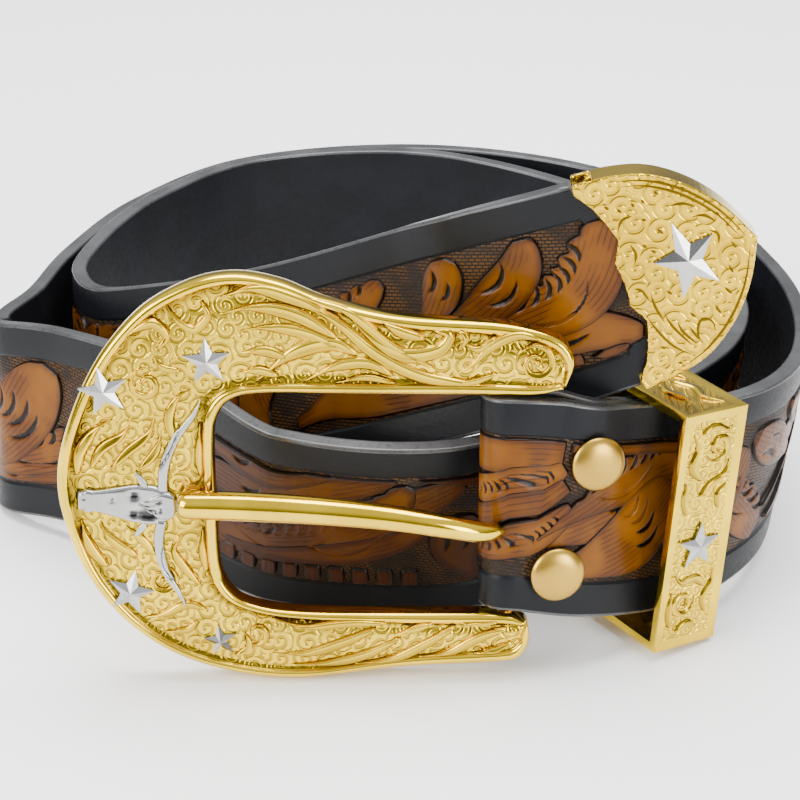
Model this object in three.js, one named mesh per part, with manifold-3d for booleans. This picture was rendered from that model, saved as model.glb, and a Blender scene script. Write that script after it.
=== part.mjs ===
// A western belt that stands on its lower edge, rolled into two loose turns, with its
// tooled face outwards and its buckle to the front. Units are millimetres and +Z is up.
// The origin is the middle of the belt's bounding box, on the surface that it stands on.

import * as THREE from "three";
import { mergeVertices } from "three/addons/utils/BufferGeometryUtils.js";
import Module from "manifold-3d";

// Strap: one band of leather
const STRAP_WIDTH = 38;
const LEATHER = 3;
const LEATHER_CHAMFER = 0.5;
const STEPS_A_ROW = 5;

// Space left between pieces that touch
const GAP = 0.35;

// Buckle: a cast horseshoe plate that leans back, with a bar between its two arms
const BUCKLE_LEAN = 9;
const BUCKLE_FOOT = { y: -31, z: 1.35 };
const FRAME_THICK = 5;
const FRAME_ROUNDING = 1.4;
const BAR_X = 18.4;
const BAR_DEPTH = -2;
const BAR_RADIUS = 1.5;
const BAR_FROM = 8;
const BAR_TO = 53;
const RELIEF = 0.7;

// Strap's place on the bar, measured up the buckle
const WRAP_FROM = 12;
const WRAP_RADIUS = BAR_RADIUS + GAP + LEATHER / 2;
const FLAP_LENGTH = 34;
const FLAP_CLOSES_BY = 9;
const WRAP_STEPS = 10;

// Prong
const PRONG_HEIGHT = 26.6;
const RING_THICK = 0.65;
const RING_HALF_HEIGHT = 1.4;
const SLOT_HALF_HEIGHT = 2.5;
const SLOT_TO_X = 22;

// Keeper: a rectangular band of plate round the strap, beside the buckle
const KEEPER_WIDTH = 13.7;
const KEEPER_DEPTH = 23.4;
const KEEPER_HEIGHT = 45.5;
const KEEPER_PLATE = 1.6;
const KEEPER_AT = { x: 45.5, y: -12.6, z: 24.05 };
const KEEPER_TURN = 33.6;
const KEEPER_DIP = 5.4;

// Tip: a shield that closes over the free end
const TIP_PLATE = 1.1;
const TIP_FROM = 11;
const TIP_ROUNDING = 0.5;

// Rivets through the strap and its turned-back flap
const RIVET_HEAD = { radius: 4.8, height: 1.5, clear: 0.5 };
const RIVET_SHANK = 1.6;
const RIVET_BACK = { radius: 2.8, height: 1, clear: 0.4 };

const ROUND_SIDES = 24;

// The strap's route from the bar to the free end: x and y of its bottom edge, z of that
// edge, and how far its top leans outwards in degrees. Its first point is on the bar.
const ROUTE_COLUMNS = ["x", "y", "z", "lean"];
const ROUTE = [
  // from the bar through the keeper, and round the right
  [31, -27.5, 10.2, -9.5], [44, -20, 6.8, -9], [56, -10.5, 5.6, 0], [66, 5, 5, 6], [71, 28, 4, 7],
  [70, 56, 2.5, 6], [61, 88, 1.2, 4], [38, 115, 0, 2],
  // the outer back wall, and round the left
  [3, 127, 0, 0], [-34, 119, 0, 0], [-56, 95, 0, 0], [-66, 68, 0, 2], [-70, 48, 0, 3],
  [-77, 35, 0, 0], [-76, 26, 1, -6], [-64, 17.5, 3.5, -8],
  // the middle layer at the front, which shows through the buckle
  [-46, 7.5, 4, -2], [-22, -6, 0, 8], [6, -9, 0, 11], [28, -1, 0, 5], [47, 10, 0, 4], [59, 28, 0, 6],
  // the inner turn
  [62, 50, 0, 6], [54, 80, 0, 3], [33, 106, 0.5, 1], [3, 119, 2, 0], [-31, 112, 3, 0], [-51, 90, 3.5, 0],
  [-61, 66, 3.5, 0], [-64, 48, 3, -2], [-57, 31, 5, -8],
  // the free end, which climbs to the right above the keeper
  [-39, 15, 13, -16], [-16, -0.5, 24, -18], [8, -11, 35.5, -17], [30, -15.3, 44.8, -6], [39, -15.2, 48.3, 0],
  [57, -14, 54.9, 0],
];

// Buckle outlines in the plane of the plate: x along it and height up it
const FRAME_OUTER = [
  [29.1, 56], [28, 59], [24.8, 61.2], [17.1, 63], [0, 64.2], [-12, 67], [-20, 70.2], [-28, 71.4],
  [-36, 69.5], [-44.5, 64], [-52.5, 53], [-57.8, 37], [-55.6, 23.5], [-50, 13], [-41.5, 5.2], [-31, 0.8],
  [-18, -0.9], [0, 1.1], [16, 2], [20.5, 2.8], [22.2, 6.4],
];
const FRAME_INNER = [
  [20.8, 10], [17, 11.2], [0, 11.3], [-16, 11.5], [-24, 12.6], [-28.5, 15], [-30.6, 20], [-31, 30],
  [-31.2, 42], [-30.4, 47], [-27.6, 50], [-22, 50.9], [-10, 50.7], [10, 50.5], [22, 50.4], [27, 51.6],
];
const FRAME_STARS = [
  { x: -49.3, height: 51.4, radius: 4.2, turn: 12 },
  { x: -32, height: 56.6, radius: 4.4, turn: 0 },
  { x: -46, height: 15.4, radius: 4, turn: -14 },
  { x: -30.8, height: 6.4, radius: 3.2, turn: 8 },
];

// Half of the longhorn's outline: along it from the muzzle to the poll, and out from its middle
const LONGHORN_AT = { x: -54, height: 32.2, turn: -4 };
const LONGHORN_HALF = [
  [0, 0], [0.2, 1.4], [1.6, 2], [4.5, 1.9], [8.5, 2.7], [9.6, 4.8], [10.9, 4.4], [11.4, 6.5],
  [13.2, 11], [17, 16.5], [19.6, 19.6], [19.4, 15.5], [17.2, 10.5], [15.6, 6], [15, 2], [14.6, 0],
];

// The prong's middle line in the same plane, how far in front of the plate it is, and its radius
const PRONG_COLUMNS = ["x", "height", "front", "radius"];
const PRONG = [
  [-37.4, 32.3, 5.25, 1.3], [-36.6, 32.3, 5.25, 2.1], [-34.6, 32.3, 5.3, 2.4], [-26, 32.4, 6.2, 2.5],
  [-14, 32.1, 7.3, 2.4], [-2, 31, 7.6, 2.2], [7, 29.3, 7, 2], [13, 27.6, 5.4, 1.8], [16.2, 26.8, 3, 1.5],
  [16.8, 26.6, 0.8, 1.2],
];

// Half of the tip's outline: along the strap, and out from its middle
const TIP_HALF = [
  [14.2, 0], [13.8, 4], [15.6, 7.6], [14.6, 11], [13.4, 14.2], [11.2, 17.6], [11.6, 19.4], [18, 18.7],
  [24, 16.8], [29.6, 12.6], [34, 7], [37.4, 0],
];
const TIP_STAR = { along: 25.2, radius: 6 };
// Where the leather narrows inside the tip: along it, and half of its width there
const END_TAPER = [[10.2, 19], [11, 16.6], [20, 14.6], [25, 11], [28, 7]];

const KEEPER_STAR = { radius: 4.6, height: -3 };
const RIVETS = [
  { name: "rivet_upper", along: 9.6, height: 28.2 },
  { name: "rivet_lower", along: 6.6, height: 8 },
];

const wasm = await Module();
wasm.setup();

const radians = THREE.MathUtils.degToRad;
const vector = (x, y, z) => new THREE.Vector3(x, y, z);
const Z = vector(0, 0, 1);

// A closed solid from rings of points, each running counter-clockwise about the line of rings
function loft(rings) {
  const sides = rings[0].length;
  const positions = rings.flat().flatMap((point) => point.toArray());
  const index = [];
  for (let ring = 0; ring + 1 < rings.length; ring += 1) {
    for (let side = 0; side < sides; side += 1) {
      const a = ring * sides + side;
      const b = ring * sides + ((side + 1) % sides);
      index.push(a, b, b + sides, a, b + sides, a + sides);
    }
  }
  const last = (rings.length - 1) * sides;
  for (let side = 1; side + 1 < sides; side += 1) {
    index.push(0, side + 1, side, last, last + side, last + side + 1);
  }
  const geometry = new THREE.BufferGeometry();
  geometry.setAttribute("position", new THREE.Float32BufferAttribute(positions, 3));
  geometry.setIndex(index);
  return geometry;
}

function toSolid(geometry) {
  const bare = geometry.clone();
  bare.deleteAttribute("normal");
  bare.deleteAttribute("uv");
  const merged = mergeVertices(bare, 1e-4);
  const mesh = new wasm.Mesh({
    numProp: 3,
    vertProperties: Float32Array.from(merged.attributes.position.array),
    triVerts: Uint32Array.from(merged.index.array),
  });
  return new wasm.Manifold(mesh);
}

function toGeometry(solid) {
  const mesh = solid.getMesh();
  const geometry = new THREE.BufferGeometry();
  geometry.setAttribute("position", new THREE.BufferAttribute(mesh.vertProperties, 3));
  geometry.setIndex(new THREE.BufferAttribute(mesh.triVerts, 1));
  return geometry;
}

// The plane of the buckle's plate: x along it, height up it, front towards the viewer
const buckleUp = vector(0, Math.sin(radians(BUCKLE_LEAN)), Math.cos(radians(BUCKLE_LEAN)));
const buckleFront = vector(0, -buckleUp.z, buckleUp.y);
const buckleFoot = vector(0, BUCKLE_FOOT.y, BUCKLE_FOOT.z);
const buckleFrame = new THREE.Matrix4()
  .makeBasis(vector(1, 0, 0), buckleUp, buckleFront)
  .setPosition(buckleFoot);
const onBuckle = (x, height, front) => vector(x, height, front).applyMatrix4(buckleFrame);

// Points of a smooth curve through rows of numbers, all columns together
function smooth(rows, steps) {
  const blend = (a, b, c, d, t) =>
    0.5 * (2 * b + (c - a) * t + (2 * a - 5 * b + 4 * c - d) * t ** 2 + (3 * b - a - 3 * c + d) * t ** 3);
  const before = rows[0].map((value, column) => 2 * value - rows[1][column]);
  const after = rows.at(-1).map((value, column) => 2 * value - rows.at(-2)[column]);
  const padded = [before, ...rows, after];
  const points = [];
  for (let row = 1; row + 2 < padded.length; row += 1) {
    for (let step = 0; step < steps; step += 1) {
      const near = padded.slice(row - 1, row + 3);
      points.push(rows[0].map((value, column) => blend(...near.map((line) => line[column]), step / steps)));
    }
  }
  points.push(rows.at(-1));
  return points;
}

// One place along the strap: its bottom edge, the way it runs, the way its width runs,
// and the way its tooled face looks
function place(foot, along, up, lean) {
  const level = up.clone().addScaledVector(along, -up.dot(along)).normalize();
  const side = along.clone().cross(level);
  const width = level.clone().multiplyScalar(Math.cos(lean)).addScaledVector(side, Math.sin(lean));
  return { foot, along, width, face: along.clone().cross(width) };
}

function strapPlaces() {
  const front = BAR_DEPTH + WRAP_RADIUS;
  const start = onBuckle(BAR_X, WRAP_FROM, front);
  const rows = [[start.x, start.y, start.z, -BUCKLE_LEAN], ...ROUTE];
  const points = smooth(rows, STEPS_A_ROW);
  const column = Object.fromEntries(ROUTE_COLUMNS.map((name, number) => [name, number]));
  const edge = points.map((row) => vector(row[column.x], row[column.y], row[column.z]));
  const run = edge.map((point, number) => {
    const before = edge[Math.max(number - 1, 0)];
    const after = edge[Math.min(number + 1, edge.length - 1)];
    const along = number === 0 ? vector(1, 0, 0) : after.clone().sub(before).normalize();
    const lean = radians(points[number][column.lean]);
    // The lower corner of a leaning edge stays on the floor
    const lift = Math.max(0, (LEATHER / 2) * Math.abs(Math.sin(lean)) - point.z);
    return place(point.clone().addScaledVector(Z, lift), along, Z, lean);
  });
  run[0] = { foot: start, along: vector(1, 0, 0), width: buckleUp.clone(), face: buckleFront.clone() };
  return run;
}

const run = strapPlaces();
const lengths = [0];
for (let number = 1; number < run.length; number += 1) {
  lengths.push(lengths.at(-1) + run[number].foot.distanceTo(run[number - 1].foot));
}

// The place at a length along the strap, measured from the bar
function placeAt(length) {
  const number = Math.max(1, lengths.findIndex((value) => value >= length));
  const share = (length - lengths[number - 1]) / (lengths[number] - lengths[number - 1]);
  const mix = (name) => run[number - 1][name].clone().lerp(run[number][name], share);
  const along = mix("along").normalize();
  const face = mix("face").normalize();
  return { foot: mix("foot"), along, face, width: face.clone().cross(along).normalize() };
}

// How far behind the strap's middle the turned-back end's middle is, at a length from the bar
function flapBehind(length) {
  const share = THREE.MathUtils.smoothstep(length, 0, FLAP_CLOSES_BY);
  return THREE.MathUtils.lerp(2 * WRAP_RADIUS, LEATHER + GAP, share);
}

// The turned-back end lies behind the strap's first stretch and closes up to it
function flapPlaces() {
  const places = [];
  const count = 9;
  for (let number = 0; number < count; number += 1) {
    const length = FLAP_LENGTH * (1 - number / count);
    const front = placeAt(length);
    places.push({
      foot: front.foot.clone().addScaledVector(front.face, -flapBehind(length)),
      along: front.along.clone().negate(),
      width: front.width,
      face: front.face.clone().negate(),
    });
  }
  return places;
}

// The fold round the bar, from behind it to in front of it
function foldPlaces() {
  const places = [];
  for (let step = 0; step < WRAP_STEPS; step += 1) {
    const turn = (Math.PI * step) / WRAP_STEPS;
    const x = BAR_X - WRAP_RADIUS * Math.sin(turn);
    const front = BAR_DEPTH - WRAP_RADIUS * Math.cos(turn);
    const face = vector(-Math.sin(turn), 0, 0).addScaledVector(buckleFront, -Math.cos(turn));
    const along = buckleUp.clone().cross(face);
    places.push({ foot: onBuckle(x, WRAP_FROM, front), along, width: buckleUp.clone(), face });
  }
  return places;
}

// A cross-section of the band, between two heights on it, with a little cut off each corner
function bandSection(at, low, high, half, chamfer) {
  const corners = [
    [low + chamfer, -half], [high - chamfer, -half], [high, -half + chamfer], [high, half - chamfer],
    [high - chamfer, half], [low + chamfer, half], [low, half - chamfer], [low, -half + chamfer],
  ];
  return corners.map(([height, out]) =>
    at.foot.clone().addScaledVector(at.width, height).addScaledVector(at.face, out));
}

const strapLength = lengths.at(-1);
const tipStart = strapLength - END_TAPER.at(-1)[0];

// The band's half width at a length along it: full, then narrower inside the tip
function halfWidthAt(length) {
  const beyond = length - tipStart;
  const next = END_TAPER.findIndex(([along]) => along >= beyond);
  if (next === 0) {
    return STRAP_WIDTH / 2;
  }
  const [from, wide] = END_TAPER[next - 1];
  const [to, narrow] = END_TAPER[next];
  return THREE.MathUtils.lerp(wide, narrow, (beyond - from) / (to - from));
}

// The band's last stretch, or the hollow for it, which is larger by the spare room
function endSections(half, spare) {
  return END_TAPER.map(([along, wide], number) => {
    const at = placeAt(tipStart + along);
    if (number === END_TAPER.length - 1) {
      at.foot.addScaledVector(at.along, spare);
    }
    const middle = STRAP_WIDTH / 2;
    return bandSection(at, middle - wide - spare, middle + wide + spare, half, LEATHER_CHAMFER);
  });
}

const rivetFrame = ({ along, height }) => {
  const at = placeAt(along);
  const centre = at.foot.clone().addScaledVector(at.width, height);
  return new THREE.Matrix4().makeBasis(at.along, at.face, at.width.clone().negate()).setPosition(centre);
};

function strap() {
  const full = [];
  const body = run.filter((at, number) => lengths[number] < tipStart + END_TAPER[0][0] - 1);
  for (const at of [...flapPlaces(), ...foldPlaces(), ...body]) {
    full.push(bandSection(at, 0, STRAP_WIDTH, LEATHER / 2, LEATHER_CHAMFER));
  }
  let solid = toSolid(loft([...full, ...endSections(LEATHER / 2, 0)]));
  const slotFrom = BAR_X - WRAP_RADIUS - LEATHER;
  const slot = new THREE.BoxGeometry(SLOT_TO_X - slotFrom, 2 * SLOT_HALF_HEIGHT, 4 * LEATHER + 4 * BAR_RADIUS);
  slot.translate((slotFrom + SLOT_TO_X) / 2, PRONG_HEIGHT, BAR_DEPTH).applyMatrix4(buckleFrame);
  solid = solid.subtract(toSolid(slot));
  for (const rivet of RIVETS) {
    const hole = new THREE.CylinderGeometry(RIVET_SHANK + GAP, RIVET_SHANK + GAP, 6 * LEATHER, ROUND_SIDES);
    solid = solid.subtract(toSolid(hole.applyMatrix4(rivetFrame(rivet))));
  }
  return toGeometry(solid);
}

// A plate from a smooth outline, with its edges rounded over on both faces
function roundedPlate(shape, thick, rounding, segments) {
  const geometry = new THREE.ExtrudeGeometry(shape, {
    depth: thick - 2 * rounding,
    bevelThickness: rounding,
    bevelSize: rounding,
    bevelOffset: -rounding,
    bevelSegments: segments,
    curveSegments: 2,
  });
  return geometry.translate(0, 0, rounding - thick / 2);
}

function starShape(radius) {
  const points = [];
  for (let corner = 0; corner < 10; corner += 1) {
    const reach = corner % 2 === 0 ? radius : radius * 0.42;
    const turn = (Math.PI * corner) / 5;
    points.push(new THREE.Vector2(-reach * Math.sin(turn), reach * Math.cos(turn)));
  }
  return new THREE.Shape(points);
}

// A raised figure on a face: it starts inside the metal and stands RELIEF above the face
function raised(shape, face) {
  const sunk = 0.5;
  const geometry = new THREE.ExtrudeGeometry(shape, { depth: RELIEF + sunk, bevelEnabled: false });
  return geometry.translate(0, 0, face - sunk);
}

function longhorn() {
  const other = LONGHORN_HALF.slice(1, -1).reverse().map(([along, out]) => [along, -out]);
  const points = [...LONGHORN_HALF, ...other].map(([along, out]) => new THREE.Vector2(along, out));
  const geometry = raised(new THREE.Shape(points), FRAME_THICK / 2);
  return geometry.rotateZ(radians(LONGHORN_AT.turn)).translate(LONGHORN_AT.x, LONGHORN_AT.height, 0);
}

function buckleFrameSolid() {
  const outline = new THREE.Shape();
  const outer = FRAME_OUTER.map(([x, height]) => new THREE.Vector2(x, height));
  const inner = FRAME_INNER.map(([x, height]) => new THREE.Vector2(x, height));
  outline.moveTo(outer[0].x, outer[0].y);
  outline.splineThru(outer.slice(1));
  outline.splineThru(inner);
  outline.closePath();
  let solid = toSolid(roundedPlate(outline, FRAME_THICK, FRAME_ROUNDING, 3));
  const bar = new THREE.CylinderGeometry(BAR_RADIUS, BAR_RADIUS, BAR_TO - BAR_FROM, ROUND_SIDES);
  bar.translate(BAR_X, (BAR_FROM + BAR_TO) / 2, BAR_DEPTH);
  solid = solid.add(toSolid(bar));
  for (const star of FRAME_STARS) {
    const figure = raised(starShape(star.radius), FRAME_THICK / 2);
    figure.rotateZ(radians(star.turn)).translate(star.x, star.height, 0);
    solid = solid.add(toSolid(figure));
  }
  solid = solid.add(toSolid(longhorn()));
  return toGeometry(solid).applyMatrix4(buckleFrame);
}

// The prong: a tapering rod that arches over the opening, with a ring round the bar
function prong() {
  const column = Object.fromEntries(PRONG_COLUMNS.map((name, number) => [name, number]));
  const points = smooth(PRONG, 4);
  const line = points.map((row) => vector(row[column.x], row[column.height], row[column.front]));
  const sides = 14;
  const rings = line.map((centre, number) => {
    const before = line[Math.max(number - 1, 0)];
    const after = line[Math.min(number + 1, line.length - 1)];
    const along = after.clone().sub(before).normalize();
    const side = vector(0, 1, 0).addScaledVector(along, -along.y).normalize();
    const front = along.clone().cross(side);
    return Array.from({ length: sides }, (none, corner) => {
      const turn = (2 * Math.PI * corner) / sides;
      const radius = points[number][column.radius];
      return centre.clone()
        .addScaledVector(side, radius * Math.cos(turn))
        .addScaledVector(front, radius * Math.sin(turn));
    });
  });
  const ringRadius = BAR_RADIUS + GAP + RING_THICK;
  const section = [];
  for (let corner = 0; corner <= 12; corner += 1) {
    const turn = (2 * Math.PI * (corner % 12)) / 12;
    section.push(new THREE.Vector2(ringRadius + RING_THICK * Math.cos(turn), RING_HALF_HEIGHT * Math.sin(turn)));
  }
  const ring = new THREE.LatheGeometry(section, ROUND_SIDES);
  ring.translate(BAR_X, PRONG_HEIGHT, BAR_DEPTH);
  const eye = new THREE.CylinderGeometry(BAR_RADIUS + GAP, BAR_RADIUS + GAP, 4 * RING_HALF_HEIGHT, ROUND_SIDES);
  eye.translate(BAR_X, PRONG_HEIGHT, BAR_DEPTH);
  const solid = toSolid(loft(rings)).add(toSolid(ring)).subtract(toSolid(eye));
  return toGeometry(solid).applyMatrix4(buckleFrame);
}

function rectangle(path, wide, high) {
  path.moveTo(-wide / 2, -high / 2);
  path.lineTo(wide / 2, -high / 2);
  path.lineTo(wide / 2, high / 2);
  path.lineTo(-wide / 2, high / 2);
  path.closePath();
  return path;
}

// The keeper's own axes: x along the strap, y to the back, z up
function keeper() {
  const outline = rectangle(new THREE.Shape(), KEEPER_DEPTH, KEEPER_HEIGHT);
  const inside = { depth: KEEPER_DEPTH - 2 * KEEPER_PLATE, height: KEEPER_HEIGHT - 2 * KEEPER_PLATE };
  outline.holes.push(rectangle(new THREE.Path(), inside.depth, inside.height));
  const band = new THREE.ExtrudeGeometry(outline, { depth: KEEPER_WIDTH, bevelEnabled: false });
  band.translate(0, 0, -KEEPER_WIDTH / 2).rotateX(Math.PI / 2).rotateZ(Math.PI / 2);
  const star = raised(starShape(KEEPER_STAR.radius), KEEPER_DEPTH / 2);
  star.rotateX(Math.PI / 2).translate(0, 0, KEEPER_STAR.height);
  const solid = toSolid(band).add(toSolid(star));
  const turn = new THREE.Matrix4().makeRotationZ(radians(KEEPER_TURN));
  turn.multiply(new THREE.Matrix4().makeRotationY(radians(KEEPER_DIP)));
  turn.setPosition(KEEPER_AT.x, KEEPER_AT.y, KEEPER_AT.z);
  return toGeometry(solid).applyMatrix4(turn);
}

// The tip: two shield plates joined round the point, with a pocket for the leather
function tip() {
  const at = placeAt(tipStart + TIP_FROM);
  const middle = at.foot.clone().addScaledVector(at.width, STRAP_WIDTH / 2).addScaledVector(at.along, -TIP_FROM);
  const frame = new THREE.Matrix4().makeBasis(at.along, at.width, at.face);
  frame.setPosition(middle);
  const other = TIP_HALF.slice(1, -1).reverse().map(([along, out]) => [along, -out]);
  const points = [...TIP_HALF, ...other].map(([along, out]) => new THREE.Vector2(along, out));
  const thick = LEATHER + 2 * GAP + 2 * TIP_PLATE;
  let solid = toSolid(roundedPlate(new THREE.Shape(points), thick, TIP_ROUNDING, 2));
  const star = raised(starShape(TIP_STAR.radius), thick / 2);
  star.translate(TIP_STAR.along, 0, 0);
  solid = toSolid(toGeometry(solid.add(toSolid(star))).applyMatrix4(frame));
  return toGeometry(solid.subtract(toSolid(loft(endSections(LEATHER / 2 + GAP, GAP)))));
}

function rivet(where) {
  const front = LEATHER / 2 + GAP + RIVET_HEAD.clear;
  const back = -flapBehind(where.along - RIVET_BACK.radius) - LEATHER / 2 - GAP - RIVET_BACK.clear;
  const profile = [[0, front + RIVET_HEAD.height]];
  const domeSteps = 5;
  for (let step = 1; step <= domeSteps; step += 1) {
    const turn = (Math.PI / 2) * (step / domeSteps);
    const height = (RIVET_HEAD.height - 0.4) * Math.cos(turn) + 0.4;
    profile.push([RIVET_HEAD.radius * Math.sin(turn), front + height]);
  }
  profile.push([RIVET_HEAD.radius, front], [RIVET_SHANK, front], [RIVET_SHANK, back]);
  profile.push([RIVET_BACK.radius, back], [RIVET_BACK.radius, back - RIVET_BACK.height], [0, back - RIVET_BACK.height]);
  const geometry = new THREE.LatheGeometry(profile.reverse().map(([x, y]) => new THREE.Vector2(x, y)), ROUND_SIDES);
  return geometry.applyMatrix4(rivetFrame(where));
}

const gold = () => new THREE.MeshStandardMaterial({ color: 0xd9b04c, metalness: 1, roughness: 0.2 });
const brass = () => new THREE.MeshStandardMaterial({ color: 0xb08b48, metalness: 1, roughness: 0.35 });
const leather = () => new THREE.MeshStandardMaterial({ color: 0x9a5423, metalness: 0, roughness: 0.5 });

const belt = new THREE.Group();
function piece(name, geometry, material) {
  const mesh = new THREE.Mesh(geometry, material);
  mesh.name = name;
  belt.add(mesh);
}
piece("strap", strap(), leather());
piece("buckle_frame", buckleFrameSolid(), gold());
piece("prong", prong(), gold());
piece("keeper", keeper(), gold());
piece("tip", tip(), gold());
for (const where of RIVETS) {
  piece(where.name, rivet(where), brass());
}

// The whole belt moves so that the origin is under the middle of its bounding box
const box = new THREE.Box3().setFromObject(belt);
const centre = box.getCenter(new THREE.Vector3());
for (const mesh of belt.children) {
  mesh.geometry.translate(-centre.x, -centre.y, -box.min.z);
}

export default belt;
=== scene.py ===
# %% [markdown]
# # A rolled western belt
# A western belt is one band of leather with a metal set on it: a horseshoe buckle with a prong,
# a keeper, a tip and two rivets. This lesson dresses the plain model of such a belt. It goes from
# the view and the light, through the finishes, to the leather and then to each piece of metal.

# %% Load the plain model
import bisect
import math
import random

import bmesh
import bpy
from mathutils import Matrix, Vector


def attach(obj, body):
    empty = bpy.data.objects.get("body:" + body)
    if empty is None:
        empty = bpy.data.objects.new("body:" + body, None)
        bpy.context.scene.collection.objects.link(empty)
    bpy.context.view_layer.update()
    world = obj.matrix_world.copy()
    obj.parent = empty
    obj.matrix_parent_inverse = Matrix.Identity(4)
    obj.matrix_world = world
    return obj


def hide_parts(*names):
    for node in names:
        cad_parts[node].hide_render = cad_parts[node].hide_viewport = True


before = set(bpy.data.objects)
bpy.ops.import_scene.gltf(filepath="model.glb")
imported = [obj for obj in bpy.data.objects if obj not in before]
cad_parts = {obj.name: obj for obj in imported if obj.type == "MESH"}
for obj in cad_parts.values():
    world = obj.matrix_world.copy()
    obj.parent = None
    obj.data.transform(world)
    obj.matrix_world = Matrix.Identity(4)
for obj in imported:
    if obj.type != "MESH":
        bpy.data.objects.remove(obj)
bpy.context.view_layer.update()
MM = 0.001
# The plain model's origin lies under the middle of its box, this far from the middle of the picture
PICTURE_FOOT = Vector((0.886, -46.32, 0)) * MM
print("plain model:", sorted(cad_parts))

# %% [markdown]
# ## View, floor and light
# The camera looks down at 27 degrees from about 42 cm, which is close enough for the front of the
# belt to look clearly larger than its back. A pale floor and three large soft lights stand in for a
# small photo table. Polished metal only shows what it reflects, so the lights are what models it.

# %% Camera
PICTURE_PITCH = math.radians(27)
PICTURE_DISTANCE = 420 * MM
AIM_HEIGHT = 38 * MM
aim = PICTURE_FOOT + Vector((0, 0, AIM_HEIGHT))
away = Vector((0, -math.cos(PICTURE_PITCH), math.sin(PICTURE_PITCH)))
camera_data = bpy.data.cameras.new("picture_camera")
camera_data.sensor_width = 36
camera_data.lens = 105.84
camera_data.clip_start = 10 * MM
camera = bpy.data.objects.new("picture_camera", camera_data)
camera.location = aim + away * PICTURE_DISTANCE
camera.rotation_euler = (math.pi / 2 - PICTURE_PITCH, 0, 0)
bpy.context.scene.collection.objects.link(camera)
bpy.context.scene.camera = camera
print("camera at", [round(value, 3) for value in camera.location])


# %% Floor
FLOOR_SIZE = 4


def plain_material(name, color, roughness):
    material = bpy.data.materials.new(name)
    material.use_nodes = True
    shader = material.node_tree.nodes["Principled BSDF"]
    shader.inputs["Base Color"].default_value = (*color, 1)
    shader.inputs["Roughness"].default_value = roughness
    return material


def link_piece(name, work, materials, smooth=True):
    """Turns a bmesh into an object at the origin, with its materials in order."""
    data = bpy.data.meshes.new(name)
    work.to_mesh(data)
    work.free()
    for polygon in data.polygons:
        polygon.use_smooth = smooth
    piece = bpy.data.objects.new(name, data)
    bpy.context.scene.collection.objects.link(piece)
    for material in materials:
        data.materials.append(material)
    return piece


floor_work = bmesh.new()
bmesh.ops.create_grid(floor_work, x_segments=1, y_segments=1, size=FLOOR_SIZE)
floor = link_piece("floor", floor_work, [plain_material("pale_floor", (0.96, 0.955, 0.95), 0.7)])
print("floor:", floor.dimensions[:2])


# %% Lights
def soft_light(name, place, size, power, color=(1, 1, 1)):
    data = bpy.data.lights.new(name, "AREA")
    data.shape = "RECTANGLE"
    data.size = size[0]
    data.size_y = size[1]
    data.energy = power
    data.color = color
    light = bpy.data.objects.new(name, data)
    light.location = place
    light.rotation_euler = (aim - light.location).to_track_quat("-Z", "Y").to_euler()
    bpy.context.scene.collection.objects.link(light)


# Place, size and power of each light, in metres and watts
soft_light("overhead", (0.05, 0.1, 0.75), (0.7, 0.5), 15)
soft_light("left_front", (-0.7, -0.55, 0.45), (0.5, 0.6), 12)
soft_light("right_front", (0.65, -0.75, 0.3), (0.35, 0.5), 8)
# The room is bright above and dim at eye level, so that metal has something dark to reflect
world = bpy.data.worlds.new("studio")
world.use_nodes = True
room = world.node_tree
direction = room.nodes.new("ShaderNodeSeparateXYZ")
room.links.new(room.nodes.new("ShaderNodeTexCoord").outputs["Generated"], direction.inputs[0])
height_range = room.nodes.new("ShaderNodeMapRange")
height_range.interpolation_type = "SMOOTHSTEP"
for name, value in {"From Min": 0.1, "From Max": 0.65, "To Min": 0.3, "To Max": 1.2}.items():
    height_range.inputs[name].default_value = value
room.links.new(direction.outputs[2], height_range.inputs["Value"])
room.nodes["Background"].inputs["Color"].default_value = (0.93, 0.96, 1, 1)
room.links.new(height_range.outputs[0], room.nodes["Background"].inputs["Strength"])
bpy.context.scene.world = world
print("lights:", [light.name for light in bpy.data.lights])

# %% [markdown]
# ## Finishes
# Three things make the finish here. Each worked surface carries a number at every point, called
# cut, which says how deep a tool went in there, and the materials darken with it, as dye and
# polish do on the real thing. A fine grain bends the highlights a little. And the colour wanders
# slowly over the surface. The grain and the wandering are node groups, because both leather and
# metal use them.


# %% Node helpers
def add_node(tree, kind, values=(), **settings):
    """Adds a node, with settings by name and input values or links by socket name."""
    node = tree.nodes.new(kind)
    for name, value in settings.items():
        setattr(node, name, value)
    for name, value in dict(values).items():
        if isinstance(value, bpy.types.NodeSocket):
            tree.links.new(value, node.inputs[name])
        else:
            node.inputs[name].default_value = value
    return node


def arithmetic(tree, operation, first, second=0.0):
    return add_node(tree, "ShaderNodeMath", {0: first, 1: second}, operation=operation).outputs[0]


# A mix node lists its sockets for numbers and vectors before these for colours
MIX_FIRST, MIX_SECOND, MIX_RESULT = 6, 7, 2


def blend_colors(tree, share, first, second):
    values = {0: share}
    for socket, color in ((MIX_FIRST, first), (MIX_SECOND, second)):
        values[socket] = color if isinstance(color, bpy.types.NodeSocket) else (*color, 1)
    return add_node(tree, "ShaderNodeMix", values, data_type="RGBA").outputs[MIX_RESULT]


def smooth_range(tree, value, low, high, to_low=0.0, to_high=1.0):
    span = {"Value": value, "From Min": low, "From Max": high, "To Min": to_low, "To Max": to_high}
    return add_node(tree, "ShaderNodeMapRange", span, interpolation_type="SMOOTHSTEP").outputs[0]


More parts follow.
